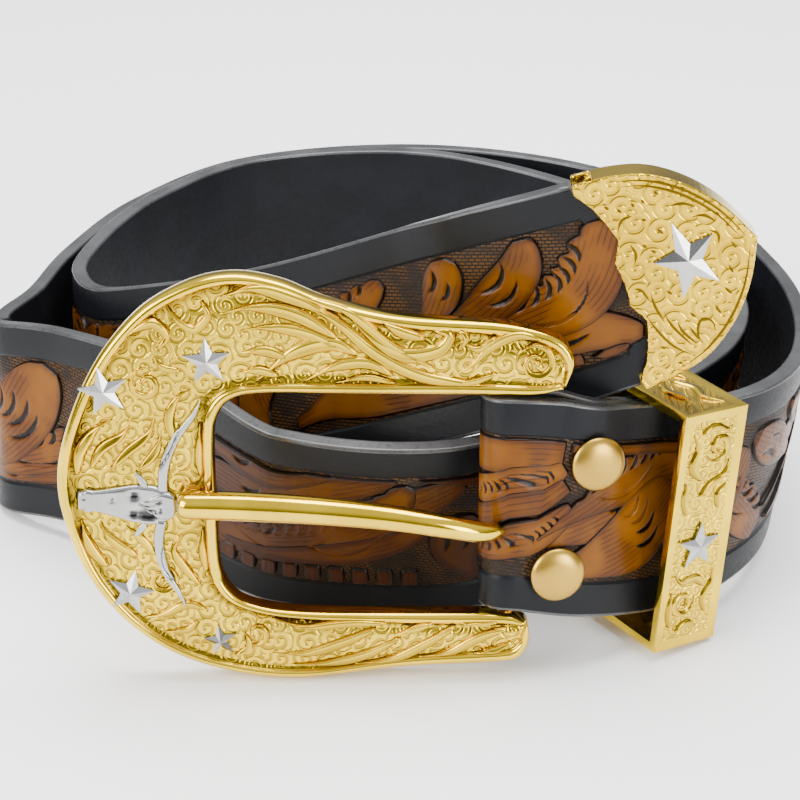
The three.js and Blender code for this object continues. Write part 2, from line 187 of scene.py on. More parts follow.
def new_group(name, inputs, outputs):
    """Starts a node group; its inputs and outputs are all single numbers."""
    group = bpy.data.node_groups.new(name, "ShaderNodeTree")
    for titles, way in ((inputs, "INPUT"), (outputs, "OUTPUT")):
        for title in titles:
            group.interface.new_socket(title, in_out=way, socket_type="NodeSocketFloat")
    return group, group.nodes.new("NodeGroupInput"), group.nodes.new("NodeGroupOutput")


# %% Fine grain
PATCHES_A_METRE = 110.0
grain, grain_in, grain_out = new_group("fine_grain", ["Size"], ["Height", "Patches"])
place = grain.nodes.new("ShaderNodeTexCoord").outputs["Object"]
fine = add_node(grain, "ShaderNodeTexNoise", {
    "Vector": place, "Scale": grain_in.outputs["Size"], "Detail": 4.0, "Roughness": 0.6})
patches = add_node(grain, "ShaderNodeTexNoise", {
    "Vector": place, "Scale": PATCHES_A_METRE, "Detail": 2.0, "Roughness": 0.5})
grain.links.new(fine.outputs[0], grain_out.inputs["Height"])
grain.links.new(smooth_range(grain, patches.outputs[0], 0.32, 0.68), grain_out.inputs["Patches"])
print("group:", grain.name)


# %% Worked surfaces
def worked_material(name, grain_size, metallic=0.0):
    """A new material, with its shader and the fine grain at the given size."""
    material = bpy.data.materials.new(name)
    material.use_nodes = True
    tree = material.node_tree
    shader = tree.nodes["Principled BSDF"]
    shader.inputs["Metallic"].default_value = metallic
    layer = add_node(tree, "ShaderNodeGroup", {"Size": grain_size}, node_tree=grain)
    return material, tree, shader, layer


def surface_value(tree, name):
    """The number that a worked surface carries under a name, cut or tone."""
    return add_node(tree, "ShaderNodeAttribute", attribute_name=name).outputs["Fac"]


def wave_across(tree, density):
    """A wave across each leaf, from which fine lines along the leaf are made."""
    place = add_node(tree, "ShaderNodeUVMap", uv_map="UVMap").outputs[0]
    across = add_node(tree, "ShaderNodeSeparateXYZ", {0: place}).outputs[1]
    return arithmetic(tree, "SINE", arithmetic(tree, "MULTIPLY", across, density))


def vary_roughness(tree, shader, layer, low, high):
    roughness = smooth_range(tree, layer.outputs["Height"], 0.3, 0.7, low, high)
    tree.links.new(roughness, shader.inputs["Roughness"])


def set_bump(tree, shader, height, strength, distance):
    bump = add_node(tree, "ShaderNodeBump", {
        "Height": height, "Strength": strength, "Distance": distance})
    tree.links.new(bump.outputs[0], shader.inputs["Normal"])


# %% Leather finishes
LEATHER_BLACK = (0.004, 0.0045, 0.006)
LEATHER_SHADE = (0.005, 0.002, 0.001)
LEAF_AMBER = (0.19, 0.064, 0.0005)
LEAF_RUSSET = (0.10, 0.028, 0.0005)
LEAF_DARK = (0.035, 0.008, 0.0005)
STAMP_LOW = (0.004, 0.003, 0.002)
STAMP_HIGH = (0.080, 0.032, 0.005)
STAMP_WORN = (0.010, 0.006, 0.004)
# Metres on the band: the middle of its width, and from there to the end of the stamped ground
GROUND_MIDDLE = 0.019
GROUND_HALF = 0.0125


def leaf_leather():
    material, tree, shader, layer = worked_material("tan_leaf", 1400)
    amber = blend_colors(tree, layer.outputs["Patches"], LEAF_AMBER, LEAF_RUSSET)
    color = blend_colors(tree, surface_value(tree, "tone"), amber, LEAF_DARK)
    # Fine lines pressed along the leaf, here and there, as a veiner leaves them
    here_and_there = smooth_range(tree, layer.outputs["Patches"], 0.35, 0.75)
    lines = smooth_range(tree, wave_across(tree, 6600.0), 0.35, 0.95)
    veins = arithmetic(tree, "MULTIPLY", lines, here_and_there)
    color = blend_colors(tree, arithmetic(tree, "MULTIPLY", veins, 0.5), color, LEATHER_SHADE)
    in_cuts = smooth_range(tree, surface_value(tree, "cut"), 0.2, 0.6)
    color = blend_colors(tree, in_cuts, color, LEATHER_SHADE)
    tree.links.new(color, shader.inputs["Base Color"])
    vary_roughness(tree, shader, layer, 0.30, 0.42)
    shader.inputs["Specular IOR Level"].default_value = 0.12
    shader.inputs["Coat Weight"].default_value = 0.1
    shader.inputs["Coat Roughness"].default_value = 0.12
    height = arithmetic(tree, "SUBTRACT", layer.outputs["Height"], veins)
    set_bump(tree, shader, height, 0.25, 0.0002)
    return material


def ground_leather():
    """The stamped ground between the leaves and the smooth black borders above and below it."""
    material, tree, shader, layer = worked_material("stamped_ground", 1500)
    place = add_node(tree, "ShaderNodeUVMap", uv_map="UVMap").outputs[0]
    turned = add_node(tree, "ShaderNodeMapping", {
        "Vector": place, "Rotation": (0, 0, math.radians(14))})
    brick = add_node(tree, "ShaderNodeTexBrick", {
        "Vector": turned.outputs[0], "Scale": 1000.0, "Mortar Size": 0.16, "Mortar Smooth": 0.5,
        "Brick Width": 1.15, "Row Height": 0.62, "Bias": 0.0, "Color1": (1, 1, 1, 1),
        "Color2": (0.8, 0.8, 0.8, 1), "Mortar": (0, 0, 0, 1)}).outputs[0]
    up_the_band = add_node(tree, "ShaderNodeSeparateXYZ", {0: place}).outputs[1]
    from_middle = arithmetic(tree, "SUBTRACT", up_the_band, GROUND_MIDDLE)
    from_middle = arithmetic(tree, "ABSOLUTE", from_middle)
    in_field = smooth_range(tree, from_middle, GROUND_HALF + 0.0002, GROUND_HALF)
    stamp = blend_colors(tree, brick, STAMP_LOW, STAMP_HIGH)
    worn = smooth_range(tree, layer.outputs["Patches"], 0.45, 0.9, 0.15, 0.85)
    color = blend_colors(tree, in_field, LEATHER_BLACK, blend_colors(tree, worn, stamp, STAMP_WORN))
    tree.links.new(color, shader.inputs["Base Color"])
    vary_roughness(tree, shader, layer, 0.34, 0.46)
    raised = arithmetic(tree, "MULTIPLY", brick, in_field)
    grain_height = arithmetic(tree, "MULTIPLY", layer.outputs["Height"], 0.25)
    set_bump(tree, shader, arithmetic(tree, "ADD", raised, grain_height), 0.5, 0.0003)
    shader.inputs["Specular IOR Level"].default_value = 0.16
    return material


def black_leather(name, color, roughness, bump, shine):
    material, tree, shader, layer = worked_material(name, 900)
    shader.inputs["Specular IOR Level"].default_value = shine
    shade = tuple(0.55 * value for value in color)
    wander = blend_colors(tree, layer.outputs["Patches"], color, shade)
    tree.links.new(wander, shader.inputs["Base Color"])
    vary_roughness(tree, shader, layer, roughness - 0.05, roughness + 0.08)
    set_bump(tree, shader, layer.outputs["Height"], bump, 0.0002)
    return material


leather_leaf = leaf_leather()
leather_ground = ground_leather()
# The edge is dark grey rather than the black of the back: a painted sheen, on top of the real shine
# from its specular
leather_edge = black_leather("burnished_edge_painted_sheen", (0.048, 0.048, 0.05), 0.3, 0.04, 0.5)
leather_back = black_leather("black_back", (0.004, 0.0045, 0.007), 0.55, 0.35, 0.2)
print("leather:", leather_leaf.name, leather_ground.name, leather_edge.name, leather_back.name)


# %% Curls cut in metal
# Round the middle of each cell of a Voronoi pattern, a wave of distance plus angle is a spiral
CURL_WINDING = 15.0
PATTERN_TILT = math.radians(-81)
cut_curls, curls_in, curls_out = new_group("cut_curls", ["Size"], ["Groove"])
place = cut_curls.nodes.new("ShaderNodeTexCoord").outputs["Object"]
facing = add_node(cut_curls, "ShaderNodeMapping", {
    "Vector": place, "Rotation": (PATTERN_TILT, 0, 0)}).outputs[0]
cells = add_node(cut_curls, "ShaderNodeTexVoronoi", {
    "Vector": facing, "Scale": curls_in.outputs["Size"], "Randomness": 0.8},
    voronoi_dimensions="2D")
offset = add_node(cut_curls, "ShaderNodeVectorMath", {
    0: facing, 1: cells.outputs["Position"]}, operation="SUBTRACT")
split = add_node(cut_curls, "ShaderNodeSeparateXYZ", {0: offset.outputs[0]})
angle = arithmetic(cut_curls, "ARCTAN2", split.outputs[1], split.outputs[0])
winding = arithmetic(cut_curls, "MULTIPLY", cells.outputs["Distance"], CURL_WINDING)
wave = arithmetic(cut_curls, "SINE", arithmetic(cut_curls, "ADD", winding, angle))
cut_curls.links.new(smooth_range(cut_curls, wave, 0.35, -0.75), curls_out.inputs["Groove"])
print("group:", cut_curls.name)


# %% Metal finishes
def plated_metal(name, light, deep, roughness, lines=0.0, curls=0.0, shade=0.6):
    """Polished plate, darker in its cuts; it may carry engraved lines or curls in its surface."""
    material, tree, shader, layer = worked_material(name, 700, 1.0)
    shader.inputs["Roughness"].default_value = roughness
    warm = tuple(0.5 * (a + b) for a, b in zip(light, deep))
    wander = arithmetic(tree, "MULTIPLY", layer.outputs["Patches"], 0.5)
    in_cuts = smooth_range(tree, surface_value(tree, "cut"), 0.2, 0.95)
    color = blend_colors(tree, in_cuts, blend_colors(tree, wander, light, warm), deep)
    height = arithmetic(tree, "MULTIPLY", layer.outputs["Height"], 0.1)
    grooves = []
    if lines:
        line = smooth_range(tree, wave_across(tree, lines), 0.55, -0.4)
        line = arithmetic(tree, "MULTIPLY", line, surface_value(tree, "tone"))
        grooves.append((line, 0.55))
    if curls:
        curl = add_node(tree, "ShaderNodeGroup", {"Size": curls}, node_tree=cut_curls)
        grooves.append((curl.outputs["Groove"], shade))
    for groove, darkness in grooves:
        color = blend_colors(tree, arithmetic(tree, "MULTIPLY", groove, darkness), color, deep)
        height = arithmetic(tree, "SUBTRACT", height, groove)
    tree.links.new(color, shader.inputs["Base Color"])
    set_bump(tree, shader, height, 0.45, 0.00025)
    return material


GOLD_LIGHT = (0.86, 0.58, 0.025)
GOLD_DEEP = (0.15, 0.088, 0.004)
gold_plain = plated_metal("polished_gold", GOLD_LIGHT, GOLD_DEEP, 0.13)
# The tip's faces get a darker copy of the gold, which is painted shade against the bright overhead
# light they face
gold_tip = plated_metal("satin_gold_painted_shade", (0.76, 0.48, 0.015), GOLD_DEEP, 0.2, curls=260, shade=0.35)
gold_leaf = plated_metal("engraved_gold_leaf", GOLD_LIGHT, GOLD_DEEP, 0.17, lines=1050)
gold_ground = plated_metal("scroll_cut_gold", GOLD_LIGHT, GOLD_DEEP, 0.2, curls=300)
gold_panel = plated_metal("light_cut_gold", GOLD_LIGHT, GOLD_DEEP, 0.2, curls=420, shade=0.3)
gold_line = plated_metal("cut_line_gold", (0.11, 0.064, 0.004), GOLD_DEEP, 0.42)
silver = plated_metal("bright_silver", (0.46, 0.45, 0.44), (0.05, 0.05, 0.05), 0.2)
rivet_metal = plated_metal("satin_brass", (0.47, 0.29, 0.045), (0.22, 0.12, 0.02), 0.3)
print("materials:", len(bpy.data.materials))

# %% [markdown]
# ## Where the strap runs
# A rolled strap is easiest to think of as flat leather that is bent afterwards. So everything on it
# gets a length along it and a height across it, and one function turns those into a place in space.
# The route is the plain model's own: the bottom edge of the strap from the buckle's bar to the free
# end, with the height of that edge and how far the top leans out. Lengths below zero are the fold
# round the bar, and then the end that is turned back behind the strap and riveted to it.

# %% The strap's route
STRAP_WIDTH = 38
LEATHER = 3
HALF_LEATHER = LEATHER / 2
GAP = 0.35
BUCKLE_LEAN_DEGREES = 9
BUCKLE_LEAN = math.radians(BUCKLE_LEAN_DEGREES)
BUCKLE_FOOT = Vector((0, -31, 1.35))
BAR_X = 18.4
BAR_DEPTH = -2
BAR_RADIUS = 1.5
WRAP_FROM = 12
WRAP_RADIUS = BAR_RADIUS + GAP + HALF_LEATHER
FOLD_LENGTH = math.pi * WRAP_RADIUS
FLAP_LENGTH = 34
FLAP_CLOSES_BY = 9
STEPS_A_ROW = 12
# x, y and z of the bottom edge, and the lean of the strap in degrees
ROUTE = [
    (31, -27.5, 10.2, -9.5), (44, -20, 6.8, -9), (56, -10.5, 5.6, 0), (66, 5, 5, 6), (71, 28, 4, 7),
    (70, 56, 2.5, 6), (61, 88, 1.2, 4), (38, 115, 0, 2), (3, 127, 0, 0), (-34, 119, 0, 0),
    (-56, 95, 0, 0), (-66, 68, 0, 2), (-70, 48, 0, 3), (-77, 35, 0, 0), (-76, 26, 1, -6),
    (-64, 17.5, 3.5, -8), (-46, 7.5, 4, -2), (-22, -6, 0, 8), (6, -9, 0, 11), (28, -1, 0, 5),
    (47, 10, 0, 4), (59, 28, 0, 6), (62, 50, 0, 6), (54, 80, 0, 3), (33, 106, 0.5, 1),
    (3, 119, 2, 0), (-31, 112, 3, 0), (-51, 90, 3.5, 0), (-61, 66, 3.5, 0), (-64, 48, 3, -2),
    (-57, 31, 5, -8), (-39, 15, 13, -16), (-16, -0.5, 24, -18), (8, -11, 35.5, -17),
    (24, -14.3, 42.4, -9.5), (40, -15.2, 48.7, -4), (57, -14, 54.9, -2.5),
]


def smooth_rows(rows, steps):
    """Points of a smooth curve through rows of numbers, with the given steps between rows."""
    rows = [Vector(row) for row in rows]
    padded = [2 * rows[0] - rows[1], *rows, 2 * rows[-1] - rows[-2]]
    points = []
    for a, b, c, d in zip(padded, padded[1:], padded[2:], padded[3:]):
        for step in range(steps):
            t = step / steps
            square = (2 * a - 5 * b + 4 * c - d) * t ** 2
            cube = (3 * b - a - 3 * c + d) * t ** 3
            points.append(0.5 * (2 * b + (c - a) * t + square + cube))
    return [*points, rows[-1]]


def ease(value):
    """Rises from 0 to 1 with a gentle start and end."""
    value = min(max(value, 0), 1)
    return value * value * (3 - 2 * value)


def running_lengths(points):
    lengths = [0.0]
    for before, after in zip(points, points[1:]):
        lengths.append(lengths[-1] + (after - before).length)
    return lengths


def line_length(points):
    return running_lengths([Vector(point) for point in points])[-1]


# %% Places on the buckle and the strap
buckle_up = Vector((0, math.sin(BUCKLE_LEAN), math.cos(BUCKLE_LEAN)))
buckle_front = Vector((0, -buckle_up.z, buckle_up.y))


def on_buckle(x, height, front):
    """A place in the plane of the buckle's plate, still in millimetres."""
    return BUCKLE_FOOT + Vector((x, 0, 0)) + buckle_up * height + buckle_front * front


def strap_places():
    start = on_buckle(BAR_X, WRAP_FROM, BAR_DEPTH + WRAP_RADIUS)
    points = smooth_rows([(*start, -BUCKLE_LEAN_DEGREES), *ROUTE], STEPS_A_ROW)
    edge = [point.xyz for point in points]
    places = []
    for number, point in enumerate(points):
        before, after = edge[max(number - 1, 0)], edge[min(number + 1, len(edge) - 1)]
        along = Vector((1, 0, 0)) if number == 0 else (after - before).normalized()
        lean = math.radians(point.w)
        lift = max(0, HALF_LEATHER * abs(math.sin(lean)) - point.z)
        level = (Vector((0, 0, 1)) - along * along.z).normalized()
        side = along.cross(level)
        width = level * math.cos(lean) + side * math.sin(lean)
        places.append((edge[number] + Vector((0, 0, lift)), along, along.cross(width)))
    return places


run = strap_places()
run_lengths = running_lengths([place[0] for place in run])
STRAP_END = run_lengths[-1]


def run_place(length):
    """The strap's bottom edge, direction and tooled side at a length from the bar."""
    number = bisect.bisect_left(run_lengths, length, 1, len(run) - 1)
    before, after = run_lengths[number - 1], run_lengths[number]
    share = (length - before) / (after - before)
    foot, along, face = (run[number - 1][k].lerp(run[number][k], share) for k in range(3))
    return foot, along.normalized(), face.normalized()


def flap_behind(length):
    """How far the turned-back end lies behind the strap: it closes up after the fold."""
    touching = LEATHER + GAP
    return 2 * WRAP_RADIUS + (touching - 2 * WRAP_RADIUS) * ease(length / FLAP_CLOSES_BY)


def band_place(length):
    """Like run_place, and also round the fold and along the turned-back end."""
    if length >= 0:
        return run_place(length)
    if length > -FOLD_LENGTH:
        turn = math.pi * (1 + length / FOLD_LENGTH)
        face = Vector((-math.sin(turn), 0, 0)) - buckle_front * math.cos(turn)
        front = BAR_DEPTH - WRAP_RADIUS * math.cos(turn)
        foot = on_buckle(BAR_X - WRAP_RADIUS * math.sin(turn), WRAP_FROM, front)
        return foot, buckle_up.cross(face), face
    foot, along, face = run_place(-FOLD_LENGTH - length)
    return foot - face * flap_behind(-FOLD_LENGTH - length), -along, -face


def to_model(point):
    """From the picture's millimetres to the plain model's metres."""
    return point * MM + PICTURE_FOOT


def on_strap(length, height, out):
    """A place on the band: out is measured from the middle of the leather to the tooled side."""
    foot, along, face = band_place(length)
    width = face.cross(along)
    return to_model(foot + width * height + face * out)


print("strap:", round(STRAP_END), "mm from the bar to its end")

# %% [markdown]
# ## The band of leather
# The band could be an extruded outline, but it needs a slot, a pressed line beside each border and
# places for its stamped pattern. So it starts as one flat grid, much longer than wide. The grid's
# short way goes once round the band's cross-section, and its long way follows the route.

# %% Grids and layers
def start_work():
    """A bmesh whose points can say how deep they are cut and how dark their piece is."""
    work = bmesh.new()
    work.verts.layers.float.new("cut")
    work.verts.layers.float.new("tone")
    work.loops.layers.uv.new("UVMap")
    return work


def unit_grid(work, along, across):
    """A grid of quads from 0 to 1 both ways; gives its points."""
    made = bmesh.ops.create_grid(work, x_segments=along, y_segments=across, size=0.5)
    for vert in made["verts"]:
        vert.co += Vector((0.5, 0.5, 0))
    return made["verts"]


def faces_of(verts):
    return {face for vert in verts for face in vert.link_faces}


# %% Cross-section of the band
BORDER = 6.3
FIELD_DEPTH = 0.35
FIELD_OUT = HALF_LEATHER - FIELD_DEPTH
SLOT = {"low": 12.1, "high": 17.1, "reach": 3.6}
SLOT_MIDDLE = (SLOT["low"] + SLOT["high"]) / 2
# Height and out of the rounded corner between a face and an edge, up to the flat of the edge
CORNER = [(0.3, 1.45), (0.1, 1.3), (0, 1.05), (0, 0.85)]


def band_section():
    """Height and out round the band, from the tooled face over the top edge and back again."""
    flat = [(height, HALF_LEATHER) for height in (0.6, 0.9, 3, BORDER - 0.5)]
    flat += [(BORDER - 0.25, HALF_LEATHER - 0.04), (BORDER, FIELD_OUT - 0.12)]
    flat += [(BORDER + 0.3, FIELD_OUT)]
    heights = (9, SLOT["low"], SLOT_MIDDLE, SLOT["high"], 21, 26)
    field = [(height, FIELD_OUT) for height in heights]
    front = [*flat, *field, *[(STRAP_WIDTH - height, out) for height, out in reversed(flat)]]
    top = [(STRAP_WIDTH - height, out) for height, out in CORNER]
    top += [(height, -out) for height, out in reversed(top)]
    heights = (37.4, 37.1, 33, 25, SLOT["high"], SLOT_MIDDLE, SLOT["low"], 6, 0.9, 0.6)
    back = [(height, -HALF_LEATHER) for height in heights]
    bottom = [(STRAP_WIDTH - height, out) for height, out in reversed(top)]
    rows = [*front, *top, *back, *bottom, front[0]]
    # The material of each strip of faces: 0 on the tooled face, 1 on the edges, 2 on the back
    strips = [0] * (len(front) - 1) + [1] * (len(top) + 1)
    strips += [2] * (len(back) - 1) + [1] * (len(bottom) + 1)
    return rows, strips


TIP_START = STRAP_END - 28
# How far past the tip's mouth, and half of the band's width there
END_TAPER = [(11, 19), (11.25, 17.2), (20, 14.6), (25, 11), (28, 7)]


def half_width(length):
    """Half of the band's width, which narrows only inside the tip."""
    beyond = length - TIP_START
    for (start, wide), (end, narrow) in zip(END_TAPER, END_TAPER[1:]):
        if start <= beyond <= end:
            return wide + (narrow - wide) * (beyond - start) / (end - start)
    return STRAP_WIDTH / 2


# %% Make the band
FLAP_STOPS = 18
FOLD_STOPS = 24
STOP_SPACING = 1.7
SLOT_ROOM = 9
SAME_POINT = 0.01 * MM


def band_lengths():
    """Stops along the band, closer together round the fold, and one at each end of the slot."""
    slot = SLOT["reach"]
    back = [-FOLD_LENGTH - FLAP_LENGTH * (1 - step / FLAP_STOPS) for step in range(FLAP_STOPS - 1)]
    turn = FOLD_LENGTH + 2 * slot
    fold = [-FOLD_LENGTH - slot + turn * step / FOLD_STOPS for step in range(FOLD_STOPS + 1)]
    count = round((STRAP_END - slot) / STOP_SPACING)
    front = [slot + (STRAP_END - slot) * step / count for step in range(1, count + 1)]
    end = [TIP_START + beyond for beyond, wide in END_TAPER[:2]]
    front = [stop for stop in front if min(abs(stop - other) for other in end) > 0.3]
    return [stop for stop in back if stop < fold[0] - 0.5] + fold + sorted(front + end)


def in_slot(length, height):
    in_length = -FOLD_LENGTH - SLOT["reach"] < length < SLOT["reach"]
    return in_length and SLOT["low"] < height < SLOT["high"]


def face_outward(work):
    bmesh.ops.recalc_face_normals(work, faces=work.faces)
    return work


def make_band():
    rows, strips = band_section()
    stops = band_lengths()
    work = start_work()
    verts = unit_grid(work, len(stops) - 1, len(rows) - 1)
    uv = work.loops.layers.uv["UVMap"]
    cell = {}
    for vert in verts:
        cell[vert] = (round(vert.co.x * (len(stops) - 1)), round(vert.co.y * (len(rows) - 1)))
    slot_faces = []
    for face in work.faces:
        corners = [cell[vert] for vert in face.verts]
        face.material_index = strips[min(row for stop, row in corners)]
        for loop in face.loops:
            stop, row = cell[loop.vert]
            loop[uv].uv = (stops[stop] * MM, rows[row][0] * MM)
        length = sum(stops[stop] for stop, row in corners) / 4
        if in_slot(length, sum(rows[row][0] for stop, row in corners) / 4):
            slot_faces.append(face)
    middle = STRAP_WIDTH / 2
    for vert in verts:
        stop, row = cell[vert]
        height, out = rows[row]
        share = half_width(stops[stop]) / middle
        vert.co = on_strap(stops[stop], middle + (height - middle) * share, out)
    bmesh.ops.delete(work, geom=slot_faces, context="FACES")
    bmesh.ops.remove_doubles(work, verts=work.verts, dist=SAME_POINT)
    close_band(work)
    return face_outward(work)


def close_band(work):
    """Walls the slot between its two rims, and closes the band's two ends."""
    open_edges = [edge for edge in work.edges if edge.is_boundary]
    bar = to_model(on_buckle(BAR_X, WRAP_FROM + SLOT_MIDDLE, BAR_DEPTH))
    rims = [edge for edge in open_edges if (edge.verts[0].co - bar).length < SLOT_ROOM * MM]
    ends = [edge for edge in open_edges if edge not in rims]
    bmesh.ops.bridge_loops(work, edges=rims)
    bmesh.ops.holes_fill(work, edges=ends, sides=0)


def belt_piece(name, work, materials, node=None, body="belt", smooth=True):
    """Links a piece, with what carries it, its finish and the plain solid it stands for."""
    piece = link_piece(name, work, materials, smooth)
    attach(piece, body)
    if node:
        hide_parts(node)
    print(name + ":", len(piece.data.polygons), "faces")
    return piece


band_materials = [leather_ground, leather_edge, leather_back]
belt_piece("leather_band", make_band(), band_materials, "strap")

# %% [markdown]
# ## Tooled leaves
# On real tooled leather the leaves stand up because the ground round them was beaten down. Each
# leaf here is a small grid of its own: its middle line is a smooth curve on the band, its width
# changes along that line, and its edges sink into the ground. Cuts pressed into a leaf are
# ellipses in the leaf's own plane. They push its points down and are written to the cut value,
# which darkens them.


# %% One leaf
def leaf_line(spine, steps):
    """Points and sideways directions at equal shares of the length of a smooth curve."""
    points = smooth_rows(spine, 10)
    lengths = running_lengths(points)
    line = []
    number = 0
    for step in range(steps + 1):
        wanted = lengths[-1] * step / steps
        while number < len(lengths) - 2 and lengths[number + 1] < wanted:
            number += 1
        share = (wanted - lengths[number]) / max(lengths[number + 1] - lengths[number], 1e-9)
        along = (points[number + 1] - points[number]).normalized()
        line.append((points[number].lerp(points[number + 1], share), Vector((-along.y, along.x))))
    for step in range(1, steps):
        side = line[step - 1][1] + 2 * line[step][1] + line[step + 1][1]
        line[step] = (line[step][0], side.normalized())
    return line, lengths[-1]


def leaf_width(share, start, peak, end):
    """Share of the full half width: it grows from start to the peak, then rounds off to end."""
    if share < peak:
        return start + (1 - start) * ease(share / peak)
    fall = (share - peak) / max(1 - peak, 1e-6)
    return end + (1 - end) * math.sqrt(max(1 - fall * fall, 0))


def cut_depth(along, across, marks):
    """How deep the deepest cut is at a place in a leaf; a cut is an ellipse, a little bent."""
    deepest = 0
    for at, side, length, width, turn in marks:
        x = (along - at) * math.cos(turn) + (across - side) * math.sin(turn)
        y = (across - side) * math.cos(turn) - (along - at) * math.sin(turn)
        bend = y - 0.4 * x * x / length
        deepest = max(deepest, 2.4 - 2.2 * ((x / length) ** 2 + (bend / width) ** 2) ** 0.5)
    return min(max(deepest, 0), 1)


def add_leaf(work, surface, spine, wide, shape, rise, steps, marks=(), low=-0.25, tone=0.0,
             lobes=0, cut_by=0.4, side_width=0.4, outline=0.0, limits=None):
    """Adds one leaf; surface turns (first, second, out) into a place, all in millimetres."""
    line, length = leaf_line(spine, steps[0])
    cut_layer = work.verts.layers.float["cut"]
    tone_layer = work.verts.layers.float["tone"]
    uv = work.loops.layers.uv["UVMap"]
    verts = unit_grid(work, *steps)
    inner = {}
    for vert in verts:
        share = vert.co.x
        across = 0.5 * (2 * vert.co.y - 1) + 0.5 * math.sin(math.pi * (vert.co.y - 0.5))
        centre, side = line[round(share * steps[0])]
        reach = wide * leaf_width(share, *shape)
        if lobes and across > 0:
            wave = (share * lobes) % 1
            reach *= 1 - 0.22 * (1 - math.sin(math.pi * wave)) * abs(across)
        here = (share * length, across * reach)
        depth = cut_depth(*here, marks)
        to_edge = min((1 - abs(across)) * reach, min(share, 1 - share) * length)
        spot = centre + side * here[1]
        if limits:
            to_edge = max(0, min(to_edge, spot.y - limits[0], limits[1] - spot.y))
        dome = ease(to_edge / side_width)
        out = low + (rise - low) * dome - cut_by * depth * dome
        inner[vert] = (here[0] * MM, here[1] * MM)
        vert[cut_layer] = max(depth, 1 - ease((to_edge - outline) / (0.8 * side_width)))
        darker_edge = 0.5 * (1 - ease((to_edge - outline) / 1.6))
        vert[tone_layer] = min(1, tone + darker_edge)
        vert.co = surface(spot.x, spot.y, out)
    for face in faces_of(verts):
        for loop in face.loops:
            loop[uv].uv = inner[loop.vert]


# %% Cuts in a leaf
def feather_cuts(length, wide, count):
    """Slanting crescents along one side of a leaf, and one long cut on the other side."""
    marks = [(0.55 * length, -0.42 * wide, 0.2 * length, 0.3, 0)]
    for number in range(count):
        share = 0.16 + 0.68 * number / (count - 1)
        marks.append((share * length, 0.5 * wide, 0.36 * wide, 0.5, 0.85))
    return marks


def slot_cuts(length, wide):
    """Oval slots side by side in a broad petal, or one long drop in a narrow one."""
    if wide < 3.9:
        return [(0.58 * length, 0, 0.2 * length, 0.45, 0)]
    if wide < 5:
        return [(0.64 * length, 0.34 * wide, 0.15 * length, 0.5, 0.1),
                (0.6 * length, -0.34 * wide, 0.13 * length, 0.45, -0.1)]
    marks = []
    for place in (0.58, 0.22, -0.16, -0.52):
        along = (0.7 - 0.1 * abs(place)) * length
        marks.append((along, place * wide, 0.11 * length, 0.55, 0.3 * place))
    return marks


# %% [markdown]
# ### The pattern on the band
# Where the band shows best, at the buckle, at the left end and beside the tip, each leaf has a
# place of its own. The rest of the band repeats one run of leaves on a waving stem, about 58 mm
# long. Each leaf is a row: its kind, its middle line as length and height, and half of its width.

# %% Leaves that have a place of their own
FREE_END_LEAVES = [
    ("plain", [(829, 8.5), (840, 11.5), (853, 12), (872, 9)], 5.6),
    ("plain", [(826, 27), (838, 21), (850, 18.8), (868, 14.6)], 3.6),
    ("petal", [(822, 6.6), (818.6, 13), (818, 22)], 7.4),
    ("feather", [(826, 29.6), (836, 26.5), (846, 26.4), (855, 29.5)], 3.8),
    ("petal", [(866, 8.6), (878, 11.6), (888, 12.6), (898, 9.5)], 4.2),
    ("petal", [(860, 19.5), (865.6, 24.4), (870.5, 31)], 4.2),
    ("feather", [(864, 15), (877, 16.6), (890, 20), (898, 30.8)], 6.2),
    ("petal", [(861, 17.6), (873, 20.8), (881, 25.3), (885, 31.4)], 4.4),
    ("ball", [(884.4, 7.8), (887, 7.8)], 1.7),
    ("plain", [(888, 7.8), (891, 7.6), (895, 8.2)], 1.3),
]
FRONT_LEAVES = [
    ("plain", [(399, 21), (414, 24), (428, 23.5), (440, 27.5), (452, 31.4)], 4.2),
    ("plain", [(398, 10), (420, 14), (444, 20), (462, 30)], 6),
    ("petal", [(465, 7.4), (461.5, 14), (461.5, 23)], 4.8),
    ("feather", [(455, 31.2), (468, 29.5), (479, 24), (487, 13)], 5),
    ("feather", [(398, 13.5), (414, 13), (434, 15.4), (447, 21), (454, 30)], 5.4),
    ("plain", [(404, 30), (418, 29.6), (430, 28.6), (441, 31)], 2.4),
    ("petal", [(418, 11.4), (437, 13), (450, 16.5), (459, 23)], 3),
]
LEFT_LEAVES = [
    ("plain", [(354, 7), (366, 7.4), (377, 9), (392, 10.4)], 2.6),
    ("petal", [(361, 31), (355, 24), (348, 16), (340, 9)], 4.8),
    ("feather", [(349, 7), (365, 10), (378, 13), (391, 18.5), (397, 28)], 5),
    ("petal", [(350, 8.6), (363, 13.5), (372.5, 19.5), (380.5, 30.5)], 7.2),
]
FIRST_LEAVES = [
    ("plain", [(1, 12), (14, 18), (26, 23), (38, 27)], 5),
    ("feather", [(33, 26), (42, 21), (50, 14), (55, 7.6)], 5.4),
    ("petal", [(40, 7), (42, 16), (48, 28)], 5.2),
    ("petal", [(36.6, 6), (33, 13), (32.6, 23)], 4.4),
    ("feather", [(1.4, 13), (9, 19.8), (19, 25), (34, 28.8)], 5.2),
    ("petal", [(6, 8), (13, 10.6), (22, 15), (31, 23.6)], 7.2),
    ("strip", [(4, 30.6), (16, 30.4), (28, 30.2), (42, 29.8)], 1.5),
]
FOLD_LEAVES = [
    ("strip", [(-10.5, 28.2), (-5, 28.1), (3.5, 28.6)], 3.6),
    ("shell", [(-10.5, 23.6), (-5.5, 21.4), (-0.5, 23), (4, 27)], 2.9),
    ("strip", [(-10.5, 18.4), (-5, 16.8), (0, 19.2), (5, 24)], 2.2),
    ("shell", [(-10.5, 13.6), (-5, 11.4), (1, 13.4), (7, 20)], 3.1),
]
